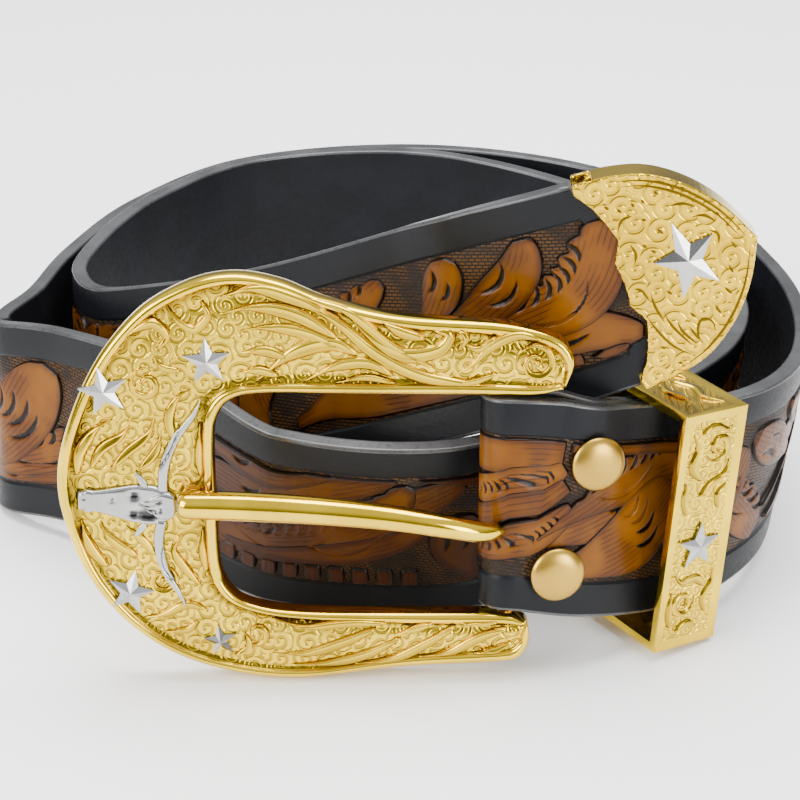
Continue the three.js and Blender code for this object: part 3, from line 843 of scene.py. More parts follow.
# One repeat of the running pattern, from length 0
RUN_LENGTH = 58
RUN_LEAVES = [
    ("plain", [(-6, 27), (8, 24), (24, 28), (40, 31)], 4),
    ("plain", [(10, 8), (28, 12), (44, 13), (60, 8)], 4),
    ("petal", [(25, 8.4), (33, 7.6), (43, 9.6)], 3.4),
    ("petal", [(9.5, 19), (2.5, 23), (-7, 28.6)], 4.6),
    ("petal", [(44, 20), (45, 13), (40, 6.8)], 4.6),
    ("petal", [(21, 22), (14.6, 26.4), (5, 31)], 4.6),
    ("feather", [(1, 8.6), (16, 10.8), (30, 17), (38.5, 29)], 6),
    ("feather", [(33, 30), (45, 27.8), (57, 21), (65, 8.4)], 6),
    ("plain", [(-2, 12), (14, 20.6), (29, 25), (44, 18), (60, 12)], 1.7),
    ("ball", [(24.6, 29.6), (27.4, 29.6)], 1.8),
    ("ball", [(50, 9), (52.8, 9)], 1.8),
]


# %% Kinds of leaves
FIELD = (BORDER + 0.25, STRAP_WIDTH - BORDER - 0.25)
# Share of the half width at the start, place of the widest point, and share at the end
LEAF_SHAPES = {
    "plain": (0.25, 0.45, 0.1), "petal": (0.3, 0.62, 0.1), "feather": (0.12, 0.66, 0.05),
    "shell": (0.6, 0.5, 0.3), "strip": (0.9, 0.4, 0.75), "ball": (0.3, 0.5, 0.0),
    "bead": (0.8, 0.3, 0.75),
}


def leaf_marks(kind, length, wide, lobes):
    if kind == "feather":
        return feather_cuts(length, wide, lobes)
    if kind == "petal":
        return slot_cuts(length, wide)
    if kind == "shell":
        shares = [0.16 + 0.062 * number for number in range(12)]
        return [(length * share, 0.05 * wide, 1.2, 0.24, math.pi / 2) for share in shares]
    if kind == "plain" and wide > 2:
        return [(0.45 * length, 0.1 * wide, min(0.1 * length, 2.4), 0.55, 0.25)]
    return []


def on_field(length, height, out):
    """A place on the stamped ground, kept between the band's two borders."""
    return on_strap(length, min(max(height, FIELD[0]), FIELD[1]), FIELD_OUT + out)


def tool_leaf(work, kind, spine, wide, chance, fine=1.0, shade=0.0, level=0.0):
    """Adds a leaf of one kind; shade makes it darker, and level lays it over its neighbours."""
    length = line_length(spine)
    lobes = max(3, round(length / 3.6)) if kind == "feather" else 0
    steps = (max(8, round(length * 2.6 * fine)), max(10, round((8 + 4.6 * wide) * fine)))
    tone = min(0.95, shade + chance.uniform(0, 0.3))
    add_leaf(work, on_field, spine, wide, LEAF_SHAPES[kind], 0.42 + level, steps,
             leaf_marks(kind, length, wide, lobes), tone=tone, lobes=lobes, outline=0.3,
             limits=FIELD)


# %% Lay the leaves
def lay_leaves(name, groups, fine=1.0, shade=0.0):
    """Joins the leaves of some groups in one piece; a group is its start length and its rows."""
    work = start_work()
    chance = random.Random(name)
    for start, rows in groups:
        for number, (kind, spine, wide) in enumerate(rows):
            placed = [(start + along, height) for along, height in spine]
            tool_leaf(work, kind, placed, wide, chance, fine, shade, 0.045 * number)
    belt_piece(name, face_outward(work), [leather_leaf])


def repeats(first, last):
    count = max(1, round((last - first) / RUN_LENGTH))
    return [(first + number * (last - first) / count, RUN_LEAVES) for number in range(count)]


lay_leaves("leaves_at_the_front", [(0, FIRST_LEAVES)], 1.3)
lay_leaves("leaves_round_the_fold", [(0, FOLD_LEAVES)], 1.7)
# The leaves in the opening get a much darker tone, which is painted shade for the shadow of the
# buckle's frame over them
lay_leaves("leaves_in_the_opening", [(0, FRONT_LEAVES)], 1.2, 0.6)
lay_leaves("leaves_at_the_left", [(0, LEFT_LEAVES)], 1.2)
lay_leaves("leaves_at_the_free_end", [(0, FREE_END_LEAVES)], 1.3, 0.15)
lay_leaves("leaves_round_the_outside", repeats(58, 335), 0.62, 0.1)
lay_leaves("leaves_round_the_inside", repeats(500, 812), 0.45, 0.1)

# %% Row of beads
BEADS_FROM, BEADS_TO = 402, 458
BEAD_SPACING = 4.3
BEAD_FOOT, BEAD_TOP = 6.7, 10.6
# The beads lie low in the buckle's opening, and their dark tone of 0.75 is painted shade, like the
# tone of the leaves there
bead_work = start_work()
for number in range(round((BEADS_TO - BEADS_FROM) / BEAD_SPACING)):
    along = BEADS_FROM + number * BEAD_SPACING
    bead_line = [(along, BEAD_FOOT), (along, BEAD_TOP)]
    tool_leaf(bead_work, "bead", bead_line, 1.75, random.Random(number), 0.8, 0.75, 0.3)
belt_piece("bead_row", face_outward(bead_work), [leather_leaf])

# %% [markdown]
# ## The buckle's plate
# The real buckle is cast: a horseshoe with a smooth rim, a slightly domed field inside the rim, and
# scrolls that were cut into the field by hand before it was plated. A grid gives it here too. The
# long way runs round the horseshoe between its outer and inner outline, and the short way goes once
# round the cross-section, so the rim, the field and the rounded back are all one closed surface.

# %% Outlines of the plate
# x along the plate and height up it, from the end of the upper arm to the end of the lower arm
PLATE_OUTER = [
    (27.7, 52.5), (29.1, 56), (28, 59), (24.8, 61.2), (17.1, 63), (0, 64.2), (-12, 67),
    (-20, 70.2), (-28, 71.4), (-36, 69.5), (-44.5, 64), (-52.5, 53), (-57.8, 37), (-55.6, 23.5),
    (-50, 13), (-41.5, 5.2), (-31, 0.8), (-18, -0.9), (0, 1.1), (16, 2), (20.5, 2.8), (22.3, 6),
    (22, 8.9),
]
PLATE_INNER = [
    (26.9, 51.6), (22, 50.4), (10, 50.5), (-10, 50.7), (-22, 50.9), (-27.6, 50), (-30.4, 47),
    (-31.2, 42), (-31, 30), (-30.6, 20), (-28.5, 15), (-24, 12.6), (-16, 11.5), (0, 11.3),
    (17, 11.2), (21.2, 9.8),
]
# Distance from the edge and front, over the rim and then round the back of the edge
RIM = [(0, 0.9), (0.12, 1.7), (0.45, 2.25), (1.0, 2.5), (1.6, 2.45), (1.95, 2.1), (2.15, 1.75)]
BACK_RIM = [(1.4, -2.5), (0.5, -2.2), (0.1, -1.5), (0, -0.6)]
RIM_WIDTH, FIELD_LEVEL = RIM[-1]
FIELD_DOME = 0.45
FIELD_STEPS = 8
# The rows of the section where the field starts and ends
FIELD_ROWS = (len(RIM) - 1, len(RIM) - 1 + FIELD_STEPS)
PLATE_STATIONS = 170
NARROWEST = 5
RIM_CUT = 0.8
FIELD_CUT = 0.25


def even_points(points, count):
    """Points at equal shares of the length of a smooth curve through some points."""
    return [place for place, side in leaf_line(points, count)[0]]


# %% Make the plate
def plate_section(width):
    """Distance from the outer edge and front of each point round the section."""
    field = []
    for step in range(1, FIELD_STEPS):
        share = step / FIELD_STEPS
        at = RIM_WIDTH + (width - 2 * RIM_WIDTH) * share
        field.append((at, FIELD_LEVEL + FIELD_DOME * (1 - (2 * share - 1) ** 2)))
    inner_rim = [(width - at, front) for at, front in reversed(RIM)]
    inner_back = [(width - at, front) for at, front in reversed(BACK_RIM)]
    return [*RIM, *field, *inner_rim, *inner_back, *BACK_RIM, RIM[0]]


def row_cut(row):
    """The cut value of a row: deep at the foot of the rim, a little in the field, else none."""
    if row in FIELD_ROWS:
        return RIM_CUT
    return FIELD_CUT if FIELD_ROWS[0] < row < FIELD_ROWS[1] else 0.0


def make_plate():
    outer = even_points(PLATE_OUTER, PLATE_STATIONS)
    inner = even_points(PLATE_INNER, PLATE_STATIONS)
    around = len(plate_section(NARROWEST)) - 1
    work = start_work()
    verts = unit_grid(work, PLATE_STATIONS, around)
    cut_layer = work.verts.layers.float["cut"]
    for vert in verts:
        station, row = round(vert.co.x * PLATE_STATIONS), round(vert.co.y * around)
        reach = inner[station] - outer[station]
        at, front = plate_section(max(reach.length, NARROWEST))[row]
        at *= min(1, reach.length / NARROWEST)
        spot = outer[station] + reach.normalized() * at
        vert[cut_layer] = row_cut(row)
        vert.co = to_model(on_buckle(spot.x, spot.y, front))
    for face in work.faces:
        face.material_index = 1 if all(vert[cut_layer] > 0 for vert in face.verts) else 0
    bmesh.ops.remove_doubles(work, verts=work.verts, dist=SAME_POINT)
    ends = [edge for edge in work.edges if edge.is_boundary]
    bmesh.ops.holes_fill(work, edges=ends, sides=0)
    return face_outward(work)


belt_piece("buckle_plate", make_plate(), [gold_plain, gold_ground], node="buckle_frame")


# %% Bar of the buckle
BAR_FROM, BAR_TO = 8, 53


def add_rod(work, place, count, around):
    """A round rod of so many rows; place turns a row and a turn into a point."""
    verts = unit_grid(work, count - 1, around)
    for vert in verts:
        vert.co = place(round(vert.co.x * (count - 1)), 2 * math.pi * vert.co.y)
    bmesh.ops.remove_doubles(work, verts=verts, dist=0.002 * MM)


def make_bar():
    work = start_work()
    ends = [(BAR_FROM, 0), (BAR_FROM, BAR_RADIUS), (BAR_TO, BAR_RADIUS), (BAR_TO, 0)]

    def around_bar(number, turn):
        height, radius = ends[number]
        front = BAR_DEPTH + radius * math.sin(turn)
        return to_model(on_buckle(BAR_X + radius * math.cos(turn), height, front))

    add_rod(work, around_bar, len(ends), 32)
    return face_outward(work)


belt_piece("buckle_bar", make_bar(), [gold_plain])

# %% [markdown]
# ## Scrolls, stars and the longhorn
# Western engraving is made of leaves that curl back on themselves, with fine parallel lines along
# each leaf. The leaf maker from the leather serves here again: only the surface that it lies on and
# its finish change. The stars and the longhorn are silver-coloured and stand above the scrolls.


# %% Curls and the plate's surface
def on_plate(x, height, out):
    return to_model(on_buckle(x, height, FIELD_LEVEL + 0.3 + out))


def spiral(x, height, radius, start, turns, hand):
    """Points of a curl that winds in to a middle."""
    points = []
    count = max(4, round(turns * 7))
    for step in range(count + 1):
        share = step / count
        turn = math.radians(start) + hand * 2 * math.pi * turns * share
        reach = radius * (1 - 0.78 * share)
        points.append((x + reach * math.cos(turn), height + reach * math.sin(turn)))
    return points


# Middle line and half width of each scroll
UPPER_SCROLLS = [
    ([(-22, 68), (-12, 64.4), (-4, 57.8), (4, 53.8), (14, 52.4)], 1.5),
    ([(-18, 68.4), (-9, 65.2), (-1.6, 59.4), (6, 55.2)], 1.1),
    ([(-9, 65), (-4.6, 60.4), (0.6, 57.6), (6.4, 58.4), (8.2, 61.2), (5.4, 62)], 1.7),
    ([(-4, 64.2), (0, 61.6), (4.4, 60.4)], 1.2),
    ([(-24, 53), (-18, 57.8), (-11.5, 59.6), (-6.6, 57.6)], 1.8),
    ([(-16, 53), (-11, 55.6), (-5.4, 56.2), (-1, 54)], 1.4),
    ([(-11, 52.8), (-5.8, 53.8), (-0.6, 52.8)], 0.8),
    ([(-29.5, 67.6), (-24, 69), (-18, 67.4), (-12, 65)], 1.4),
    ([(-30, 64.6), (-24, 65.8), (-17, 64.4), (-10, 60.4)], 1.6),
    ([(-27.6, 61.6), (-22, 62.4), (-15, 61.2), (-8.6, 58)], 1.4),
    ([(-27, 58), (-22.6, 58.4), (-18, 57)], 1.3),
    ([(-27, 54.6), (-23.4, 55), (-20, 54)], 1.1),
    ([(8, 53.6), (12, 56), (15, 59), (19.4, 61), (24, 60.2)], 1.1),
    ([(10, 60.2), (13, 58.6), (16, 60.8)], 0.9),
    ([(7, 52.9), (12, 53), (16.4, 54.6)], 0.7),
    ([(9.4, 58), (11, 60.6), (9.6, 62)], 0.7),
    (spiral(22.6, 56.2, 3.6, 200, 1.6, -1), 0.85),
    ([(22, 56.2), (23.4, 56.2)], 0.8),
]
SIDE_SCROLLS = [
    ([(-39, 67.4), (-37, 64), (-34, 62), (-31.6, 64.4), (-32.6, 67)], 1.0),
    ([(-46.4, 59.8), (-43.6, 62), (-40.6, 63), (-38.6, 60.8), (-40.4, 58.6)], 1.1),
    ([(-41, 57.6), (-39.2, 55.4), (-36.2, 55)], 0.9),
    (spiral(-42.2, 52.6, 3.1, 60, 1.4, 1), 0.85),
    ([(-42.8, 52.6), (-41.6, 52.6)], 0.7),
    ([(-34.4, 52), (-37.4, 50), (-38.6, 46), (-37.2, 42)], 1.2),
    ([(-47.6, 46.6), (-50.8, 44.8), (-53.6, 40.6), (-54.4, 36.4)], 1.2),
    ([(-44.6, 47.4), (-46.4, 43.8), (-50, 41.2), (-52, 37.6)], 1.2),
    ([(-40.6, 48.6), (-42, 44), (-45.8, 40.6), (-48.8, 37.4)], 1.2),
    ([(-39.8, 44.8), (-41, 40.8), (-44, 37.4)], 1.1),
    ([(-33.4, 46), (-33.8, 40), (-33.4, 36)], 0.8),
    ([(-54, 28.6), (-52.6, 23.6), (-49.6, 19.8)], 1.2),
    ([(-51, 28.4), (-48.6, 24.6), (-44.4, 21.8)], 1.3),
    ([(-47, 28), (-44.4, 25.6), (-41.4, 22)], 1.1),
    (spiral(-40.6, 17.6, 3, 120, 1.4, -1), 0.85),
    ([(-41.2, 17.6), (-40, 17.6)], 0.7),
    ([(-36.6, 26), (-38.4, 23), (-36.4, 19.4), (-34, 16.6)], 1.1),
    ([(-33.4, 27), (-33.6, 23), (-33, 19)], 0.8),
    ([(-44, 10.6), (-40, 11.4), (-36.4, 13), (-33, 12.2)], 1.1),
    ([(-40.6, 8), (-36.4, 8.4), (-34.6, 10.4)], 0.9),
    ([(-27, 8.8), (-26, 5.4), (-28.6, 3.4)], 0.9),
]
LOWER_SCROLLS = [
    (spiral(-24.6, 7.6, 2.5, 160, 1.3, 1), 0.75),
    ([(-22, 10.4), (-16, 8.8), (-9, 9.4), (-2, 9.6)], 0.9),
    ([(-22.6, 4), (-16, 4), (-9.6, 6), (-4, 8.6)], 1.3),
    ([(-19, 1.8), (-12, 2.2), (-5.6, 3.8), (0.4, 7)], 1.2),
    ([(-8, 1.9), (-1, 3), (5, 6), (9.6, 9)], 1.2),
    ([(-1.4, 7.4), (2.6, 8.4), (5.8, 9.6)], 0.8),
    ([(3, 3.2), (8.6, 4.2), (13.6, 6.8), (18.6, 8.6)], 1.2),
    ([(10, 9.6), (13.6, 9.4), (17, 9.8)], 0.5),
    ([(12.4, 3.9), (16.4, 4.6), (19.4, 6.2)], 0.8),
]


# %% Scrolls on the plate
def add_scrolls(work, surface, rows, rise=0.75, low=-0.25):
    for spine, wide in rows:
        length = line_length(spine)
        steps = (max(8, round(length * 2.2)), 10)
        add_leaf(work, surface, spine, wide, (0.25, 0.55, 0.15), rise, steps, low=low, tone=1,
                 side_width=0.5 * wide)


scroll_work = start_work()
for rows in (UPPER_SCROLLS, SIDE_SCROLLS, LOWER_SCROLLS):
    add_scrolls(scroll_work, on_plate, rows)
belt_piece("buckle_scrolls", face_outward(scroll_work), [gold_leaf])


# %% Stars
STAR_NOTCH = 0.42
STAR_SHOULDER = 0.45
STARS = [(-49.3, 51.4, 4.4, 12), (-32, 56.6, 4.2, 4), (-46, 15.4, 4.2, -14), (-30.8, 6.4, 3, 8)]


def add_star(work, surface, x, y, radius, turn, low, high):
    """A ridged star: a circle of ten points, every second one pulled in, and a raised middle."""
    made = bmesh.ops.create_circle(work, cap_ends=True, segments=10, radius=1)["verts"]
    for corner, vert in enumerate(made):
        reach = radius * (1 if corner % 2 == 0 else STAR_NOTCH)
        angle = corner * math.pi / 5 + math.pi / 2 + math.radians(turn)
        shoulder = low + STAR_SHOULDER * (high - low)
        vert.co = Vector((x + reach * math.cos(angle), y + reach * math.sin(angle), shoulder))
    poked = bmesh.ops.poke(work, faces=list(faces_of(made)))
    poked["verts"][0].co = Vector((x, y, high))
    rim = [edge for edge in {edge for vert in made for edge in vert.link_edges} if edge.is_boundary]
    walls = bmesh.ops.extrude_edge_only(work, edges=rim)["geom"]
    lower = [item for item in walls if isinstance(item, bmesh.types.BMVert)]
    for vert in lower:
        vert.co.z = low
    for vert in [*made, *poked["verts"], *lower]:
        vert.co = surface(*vert.co)


star_work = start_work()
for x, height, radius, turn in STARS:
    add_star(star_work, on_plate, x, height, radius, turn, -0.2, 1.45)
belt_piece("buckle_stars", face_outward(star_work), [silver], smooth=False)

# %% Longhorn
HEAD_TURN = math.radians(-4)
HEAD_AT = Vector((-54, 32.2))
# Middle line from the muzzle to the poll, half width, the leaf's shape, and how high it rises
HEAD_LEAVES = [
    ([(-0.6, 0), (5, 0.1), (10.5, 0), (16, -0.2)], 3.6, (0.5, 0.72, 0.35), 1.15),
    ([(-0.4, 0), (2.8, 0)], 2.3, (0.5, 0.5, 0.6), 1.2),
    ([(9.4, 0.2), (12.6, 0.1), (16.4, 0)], 2.7, (0.2, 0.7, 0.4), 1.4),
    ([(11.6, 2.4), (10.2, 4.4), (9, 6)], 0.85, (0.5, 0.4, 0.0), 1.1),
    ([(11.6, -2.6), (10.4, -4.6), (9.2, -6)], 0.85, (0.5, 0.4, 0.0), 1.1),
    ([(14, 2), (14, 7), (15.6, 12), (18.4, 16.4), (19.8, 20)], 1.1, (1.0, 0.1, 0.0), 1.15),
    ([(14, -2), (13.6, -6.6), (14.8, -11.4), (17.6, -15.8), (19.2, -19)], 1.1,
     (1.0, 0.1, 0.0), 1.15),
]
# Cuts by the number of their leaf: the nose and eye sockets, the nostrils, the brow, the horns
HEAD_CUTS = {
    0: [(9.8, 1.6, 1.0, 0.7, 0), (9.8, -1.7, 1.0, 0.7, 0), (6, 0.6, 0.5, 0.35, 0),
        (12.4, -1.6, 2.2, 1.2, 0.2)],
    1: [(1.1, 0.9, 0.4, 0.35, 0), (1.1, -0.9, 0.4, 0.35, 0)],
    2: [(1.8, 1.5, 1.9, 0.22, 0.1), (2.8, 0.7, 2.4, 0.22, 0), (2.2, -0.1, 2.2, 0.22, 0),
        (3, -0.9, 2.4, 0.22, 0), (2, -1.7, 2, 0.22, -0.1)],
    5: [(9, 0, 8, 0.16, 0)],
    6: [(9, 0, 8, 0.16, 0)],
}


def on_head(along, across, out):
    x = HEAD_AT.x + along * math.cos(HEAD_TURN) - across * math.sin(HEAD_TURN)
    height = HEAD_AT.y + along * math.sin(HEAD_TURN) + across * math.cos(HEAD_TURN)
    return on_plate(x, height, out)


head_work = start_work()
for number, (spine, wide, shape, rise) in enumerate(HEAD_LEAVES):
    cuts = HEAD_CUTS.get(number, ())
    add_leaf(head_work, on_head, spine, wide, shape, rise, (30, 12), cuts, -0.2, cut_by=0.3)
belt_piece("longhorn", face_outward(head_work), [silver])

# %% [markdown]
# ## Prong, rivets, keeper and tip
# These are the plainer pieces. The prong is a rod whose thickness changes along a smooth line, with
# a ring round the bar. The rivets are turned, so they are spun from half of their outline. The
# keeper is a rectangle that is inset, emptied and pulled out to a band. The tip is a shield of
# plate, folded over the end of the strap, so its walls are made by thickening one open shell.

# %% Prong
PRONG_HEIGHT = 26.6
# The ring's cross-section: its middle from the bar's centre, half of its wall, half of its height
RING_REACH = BAR_RADIUS + GAP + 0.65
RING_HALF_WALL = 0.62
RING_HALF_HEIGHT = 1.4
# x, height, front and radius of the prong's middle line
PRONG = [
    (-37.4, 32.3, 5.25, 0), (-37.3, 32.3, 5.25, 1.1), (-36.6, 32.3, 5.25, 2.1),
    (-34.6, 32.3, 5.3, 2.4), (-26, 32.4, 6.2, 2.5), (-14, 32.1, 7.3, 2.4), (-2, 31, 7.6, 2.2),
    (7, 29.3, 7, 2), (13, 27.6, 5.4, 1.8), (16.2, 26.8, 3, 1.5), (16.8, 26.6, 0.8, 1.2),
    (16.8, 26.6, 0.7, 0),
]


def spin_round(work, geometry, centre, axis, steps):
    bmesh.ops.spin(work, geom=geometry, cent=to_model(centre), axis=axis, steps=steps,
                   angle=2 * math.pi, use_merge=True)


def make_prong():
    rows = smooth_rows(PRONG, 5)
    work = start_work()

    def around_prong(number, turn):
        before, after = rows[max(number - 1, 0)].xyz, rows[min(number + 1, len(rows) - 1)].xyz
        along = (after - before).normalized()
        side = (Vector((0, 1, 0)) - along * along.y).normalized()
        radius = max(rows[number].w, 0)
        spot = rows[number].xyz + side * (radius * math.cos(turn))
        spot += along.cross(side) * (radius * math.sin(turn))
        return to_model(on_buckle(*spot))

    add_rod(work, around_prong, len(rows), 24)
    ring = bmesh.ops.create_circle(work, segments=16, radius=1)["verts"]
    ring_edges = list({edge for vert in ring for edge in vert.link_edges})
    for vert in ring:
        x = BAR_X + RING_REACH + RING_HALF_WALL * vert.co.x
        height = PRONG_HEIGHT + RING_HALF_HEIGHT * vert.co.y
        vert.co = to_model(on_buckle(x, height, BAR_DEPTH))
    centre = on_buckle(BAR_X, PRONG_HEIGHT, BAR_DEPTH)
    spin_round(work, [*ring, *ring_edges], centre, buckle_up, 40)
    return face_outward(work)


belt_piece("tapered_prong", make_prong(), [gold_plain], "prong", "prong")

# %% Rivets
RIVETS = {"rivet_upper": (9.6, 28.2), "rivet_lower": (6.6, 8)}
RIVET_FRONT = HALF_LEATHER + GAP + 0.5
RIVET_STEM = 1.6
RIVET_BACK_RADIUS = 2.8
# Radius and height above the leather of the dome, from its top to under its rim
RIVET_DOME = [
    (0, 1.5), (2, 1.44), (3.4, 1.2), (4.2, 0.85), (4.65, 0.5), (4.8, 0.25), (4.7, 0),
    (RIVET_STEM, 0),
]


def make_rivet(along, height):
    back = -flap_behind(along - RIVET_BACK_RADIUS) - HALF_LEATHER - GAP - 0.4
    outline = [(radius, RIVET_FRONT + out) for radius, out in RIVET_DOME]
    outline += [(RIVET_STEM, back), (RIVET_BACK_RADIUS, back), (RIVET_BACK_RADIUS, back - 0.8)]
    outline += [(RIVET_BACK_RADIUS - 0.3, back - 1), (0, back - 1)]
    foot, direction, face = run_place(along)
    centre = foot + face.cross(direction) * height
    work = start_work()
    places = [centre + direction * radius + face * out for radius, out in outline]
    points = [work.verts.new(to_model(place)) for place in places]
    edges = [work.edges.new(pair) for pair in zip(points, points[1:])]
    spin_round(work, [*points, *edges], centre, face, 48)
    bmesh.ops.remove_doubles(work, verts=work.verts, dist=SAME_POINT)
    return face_outward(work)


for name, (along, height) in RIVETS.items():
    rivet = make_rivet(along, height)
    belt_piece("domed_" + name, rivet, [rivet_metal], node=name)

# %% Keeper
KEEPER_SIZE = Vector((13.7, 23.4, 45.5))
KEEPER_HALF = KEEPER_SIZE / 2
KEEPER_PLATE = 1.6
PANEL_BORDER = 1.7
PANEL_DEPTH = 0.35
keeper_turn = Matrix.Rotation(math.radians(33.6), 4, "Z")
keeper_tilt = Matrix.Rotation(math.radians(5.4), 4, "Y")
keeper_place = Matrix.Translation((45.5, -12.6, 24.05)) @ (keeper_turn @ keeper_tilt)


def make_keeper():
    """A rectangle that is inset and pulled out to a band, with a sunk panel in each outer side."""
    work = start_work()
    made = bmesh.ops.create_grid(work, x_segments=1, y_segments=1, size=0.5)["verts"]
    for vert in made:
        vert.co = Vector((-KEEPER_HALF.x, vert.co.x * KEEPER_SIZE.y, vert.co.y * KEEPER_SIZE.z))
    opening = list(work.faces)
    work.normal_update()
    ring = bmesh.ops.inset_region(work, faces=opening, thickness=KEEPER_PLATE, use_boundary=True,
                                  use_even_offset=True)["faces"]
    bmesh.ops.delete(work, geom=opening, context="FACES_ONLY")
    pulled = bmesh.ops.extrude_face_region(work, geom=ring)["geom"]
    moved = [item for item in pulled if isinstance(item, bmesh.types.BMVert)]
    bmesh.ops.translate(work, verts=moved, vec=(KEEPER_SIZE.x, 0, 0))
    face_outward(work)
    panels = []
    for face in work.faces:
        middle = face.calc_center_median()
        if abs(middle.y) > KEEPER_HALF.y - 0.01 or abs(middle.z) > KEEPER_HALF.z - 0.01:
            panels.append(face)
    bmesh.ops.inset_individual(work, faces=panels, thickness=PANEL_BORDER, depth=-PANEL_DEPTH,
                               use_even_offset=True)
    for panel in panels:
        panel.material_index = 1
    sharp = [edge for edge in work.edges if edge.calc_face_angle(0) > 0.3]
    bmesh.ops.bevel(work, geom=sharp, offset=0.15, segments=3, profile=0.5, affect="EDGES",
                    material=-1)
    for vert in work.verts:
        vert.co = to_model(keeper_place @ vert.co)
    return work


belt_piece("box_keeper", make_keeper(), [gold_plain, gold_panel], node="keeper")

# %% Engraving on the keeper
# How far the panels' engraving starts below the keeper's outer sides
PANEL_LEVEL = 0.3


def on_keeper_front(x, height, out):
    return to_model(keeper_place @ Vector((x, -KEEPER_HALF.y + PANEL_LEVEL - out, height)))


def on_keeper_top(x, y, out):
    return to_model(keeper_place @ Vector((x, y, KEEPER_HALF.z - PANEL_LEVEL + out)))


def on_keeper_back(x, height, out):
    return to_model(keeper_place @ Vector((-x, KEEPER_HALF.y - PANEL_LEVEL + out, height)))


PANEL_SCROLLS = [
    (spiral(1.6, 15.6, 2.9, 200, 1.3, 1), 0.8),
    ([(-4.4, 19), (-3, 16), (-3.6, 12.4), (-1, 9.6)], 1.0),
    ([(4.4, 19.4), (3, 18.8), (0, 19.6), (-2.6, 18.6)], 0.9),
    ([(4.6, 13), (3.6, 10), (0.8, 8.6), (-1.4, 6.6)], 0.9),
    ([(-4.6, 10), (-4.6, 6.6), (-3.6, 3.4)], 0.8),
    ([(4.6, 8.4), (3, 6.4), (3.6, 3.4)], 0.8),
    ([(-4.4, -8), (-2.4, -9.8), (0.6, -9.6), (3, -11.6)], 1.0),
    (spiral(-1.6, -14, 2.8, 20, 1.3, -1), 0.8),
    ([(4.4, -8.4), (4.4, -11), (3, -14), (3.8, -17)], 0.9),
    ([(-4.4, -11.4), (-4.6, -15), (-4, -18.6)], 0.8),
    ([(2.6, -19.6), (0, -18.4), (-2.6, -19.6)], 0.9),
]
TOP_SCROLLS = [
    ([(-4.4, -8.6), (-1.4, -5.4), (-2.4, -1), (0, 3)], 1.1),
    ([(4.4, -8.8), (2, -6), (3.2, -2), (1, 2)], 1.1),
    ([(-4.4, 2), (-2.6, 5), (0.6, 6), (3.6, 9)], 1.1),
    ([(4.4, 1.6), (3.6, 4), (4.2, 7)], 0.8),
    ([(-4.4, 8.6), (-2, 8), (0, 9.4)], 0.8),
]
panel_work = start_work()
for surface in (on_keeper_front, on_keeper_back):
    add_scrolls(panel_work, surface, PANEL_SCROLLS, 0.42, -0.1)
add_scrolls(panel_work, on_keeper_top, TOP_SCROLLS, 0.42, -0.1)
belt_piece("keeper_scrolls", face_outward(panel_work), [gold_leaf])
keeper_star_work = start_work()
add_star(keeper_star_work, on_keeper_front, 0, -3, 4.6, 0, 0, 1.0)
belt_piece("keeper_star", face_outward(keeper_star_work), [silver], smooth=False)

# %% Tip
TIP_FROM = 11
TIP_PLATE = 1.1
TIP_HALF_THICK = HALF_LEATHER + GAP + TIP_PLATE
# Half of the tip's outline: along the strap, and out from its middle
TIP_HALF = [
    (14.2, 0), (13.8, 4), (15.6, 7.6), (14.6, 11), (13.4, 14.2), (11.2, 17.6), (11.6, 19.4),
    (18, 18.7), (24, 16.8), (29.6, 12.6), (34, 7), (37.4, 0),
]
# The wavy mouth takes up this many of the points
MOUTH_POINTS = 7
tip_foot, tip_along, tip_face = run_place(TIP_START + TIP_FROM)
tip_width = tip_face.cross(tip_along)
tip_middle = tip_foot + tip_width * (STRAP_WIDTH / 2) - tip_along * TIP_FROM


def on_tip(along, across, out):
    spot = tip_middle + tip_along * along + tip_width * across
    return to_model(spot + tip_face * (TIP_HALF_THICK + out))


def make_tip():
    """An open shell of two faces and the wall round the point, thickened to the inside."""
    mouth = [Vector(point) for point in TIP_HALF[:MOUTH_POINTS]]
    point_side = smooth_rows(TIP_HALF[MOUTH_POINTS - 1:], 6)
    half = [*mouth, *point_side[1:]]
    outline = [*half, *[Vector((point.x, -point.y)) for point in reversed(half[1:-1])]]
    work = start_work()
    verts = [work.verts.new((point.x, point.y, TIP_HALF_THICK)) for point in outline]
    front = work.faces.new(verts)
    pulled = bmesh.ops.extrude_face_region(work, geom=[front], use_keep_orig=True)["geom"]
    back = [item for item in pulled if isinstance(item, bmesh.types.BMVert)]
    bmesh.ops.translate(work, verts=back, vec=(0, 0, -2 * TIP_HALF_THICK))
    reach = max(point.x for point in mouth) + 0.1
    side = mouth[-1].y + 0.01
    mouth_walls = []
    for wall in [face for face in work.faces if len(face.verts) == 4]:
        if all(vert.co.x < reach and abs(vert.co.y) < side for vert in wall.verts):
            mouth_walls.append(wall)
    bmesh.ops.delete(work, geom=mouth_walls, context="FACES")
    face_outward(work)
    bmesh.ops.triangulate(work, faces=[face for face in work.faces if len(face.verts) > 4])
    # The two faces take the darker gold with painted shade, and the walls round the point take the
    # plain gold
    for face in work.faces:
        face.material_index = 1 if abs(face.normal.z) < 0.5 else 0
    for vert in work.verts:
        vert.co = on_tip(vert.co.x, vert.co.y, vert.co.z - TIP_HALF_THICK)
    return work


tip = belt_piece("shield_tip", make_tip(), [gold_tip, gold_plain], node="tip", smooth=False)
wall = tip.modifiers.new("wall", "SOLIDIFY")
wall.thickness = TIP_PLATE * MM
wall.offset = -1
wall.use_even_offset = True
rounding = tip.modifiers.new("rounding", "BEVEL")
rounding.width = 0.35 * MM
rounding.segments = 3
rounding.limit_method = "ANGLE"

# %% Engraving on the tip
CUT_LINE = 0.36
STAR_ALONG = 25.4
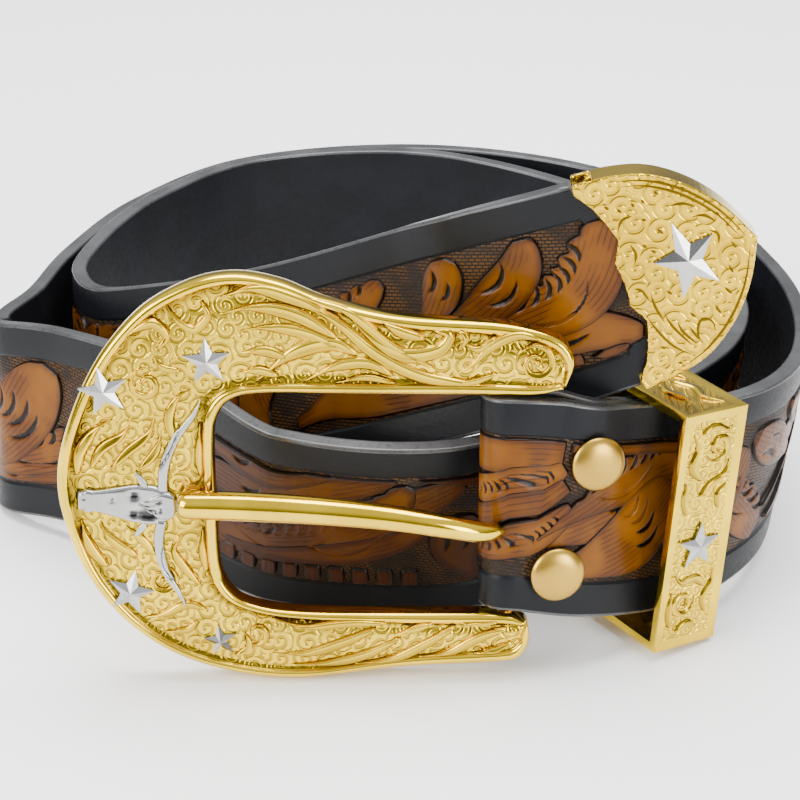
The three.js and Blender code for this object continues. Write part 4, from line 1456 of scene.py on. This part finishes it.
# Engraved lines on the tip, as points along the strap and across it
TIP_CUTS = [
    [(13.4, 18), (18.2, 17.6), (23.7, 15.7), (28.8, 12), (33, 6.8), (36, 0.4)],
    [(14.2, 17), (18.2, 16.6), (23.3, 14.9), (28.2, 11.4), (32.3, 6.4), (34.9, 1)],
    [(13.4, -18), (18.2, -17.6), (23.7, -15.7), (28.8, -12), (33, -6.8), (36, -0.4)],
    [(15.2, 14.4), (16, 13.2)], [(17, 13.2), (17.8, 12)], [(19.6, 13.4), (20, 12.2)],
    [(21.3, 13.4), (21.8, 12.2)], [(23.6, 14), (24.4, 12.9)], [(26.4, 14.6), (27.1, 12.6)],
    [(28, 13.2), (28.8, 12)], [(29, 10.6), (29.6, 9.6)], [(19, 5.8), (19.8, 4.8)],
    [(20, 4.4), (21, 3.4)], [(22, 7.8), (23.2, 6)], [(20.2, 10), (21.2, 9.4)],
    [(32.2, 7), (32.6, 6)], [(33.2, 4.8), (33.6, 3.6)], [(33, 1.4), (33.6, -0.6)],
    [(31.4, -2.4), (31.8, -4.6)], [(14.6, -1), (16.4, -1.9), (17.2, -4.4)],
    [(15.3, -4.2), (16.6, -9.3), (18.4, -13.3), (21, -16.1)],
    [(17.9, -1.8), (17.7, -5.2), (18.4, -9)],
    [(18.8, -5.4), (19, -8.6), (20, -11.4), (21.6, -14.6)],
    [(20.5, -8.1), (20.6, -11.1), (22.4, -14.6)], [(21.8, -10.4), (22.9, -14)],
    [(24.3, -16), (23, -14.1), (23.2, -11.8), (24.4, -10.4), (25.9, -11.4), (25.8, -13.6)],
    [(22.7, -8.2), (23.6, -10)], [(27, -8.4), (27.8, -10.8)], [(20.2, -3.2), (21.2, -4.6)],
    [(24.4, 10.6), (27.4, 10.2), (29.6, 8.8)], [(29.4, -6), (30.6, -8)],
    [(16.2, -12.6), (17.2, -13.4)], [(18, -16.4), (19, -16.9)],
    [(15.8, 8.6), (17.2, 10.8), (19.4, 11)], [(16.4, 2), (17.6, 4.4), (17.2, 6.6)],
    [(29.6, 4.6), (31.4, 3.2), (31, 1.2)], [(27.6, 7.4), (30.2, 7), (32, 5)],
]
tip_work = start_work()
for spine in TIP_CUTS:
    length = line_length(spine)
    steps = (max(4, round(length * 2)), 4)
    add_leaf(tip_work, on_tip, spine, CUT_LINE, (0.2, 0.5, 0.1), 0.09, steps, low=-0.1,
             side_width=0.6 * CUT_LINE)
belt_piece("tip_engraving", face_outward(tip_work), [gold_line])


def on_tip_star(along, across, out):
    """Like on_tip, but narrower along the strap, since the photograph shows the tip at a slant."""
    return on_tip(STAR_ALONG + 0.78 * (along - STAR_ALONG), across, out)


tip_star_work = start_work()
add_star(tip_star_work, on_tip_star, STAR_ALONG, 0.6, 7.2, 6, -0.1, 1.2)
belt_piece("tip_star", face_outward(tip_star_work), [silver], smooth=False)
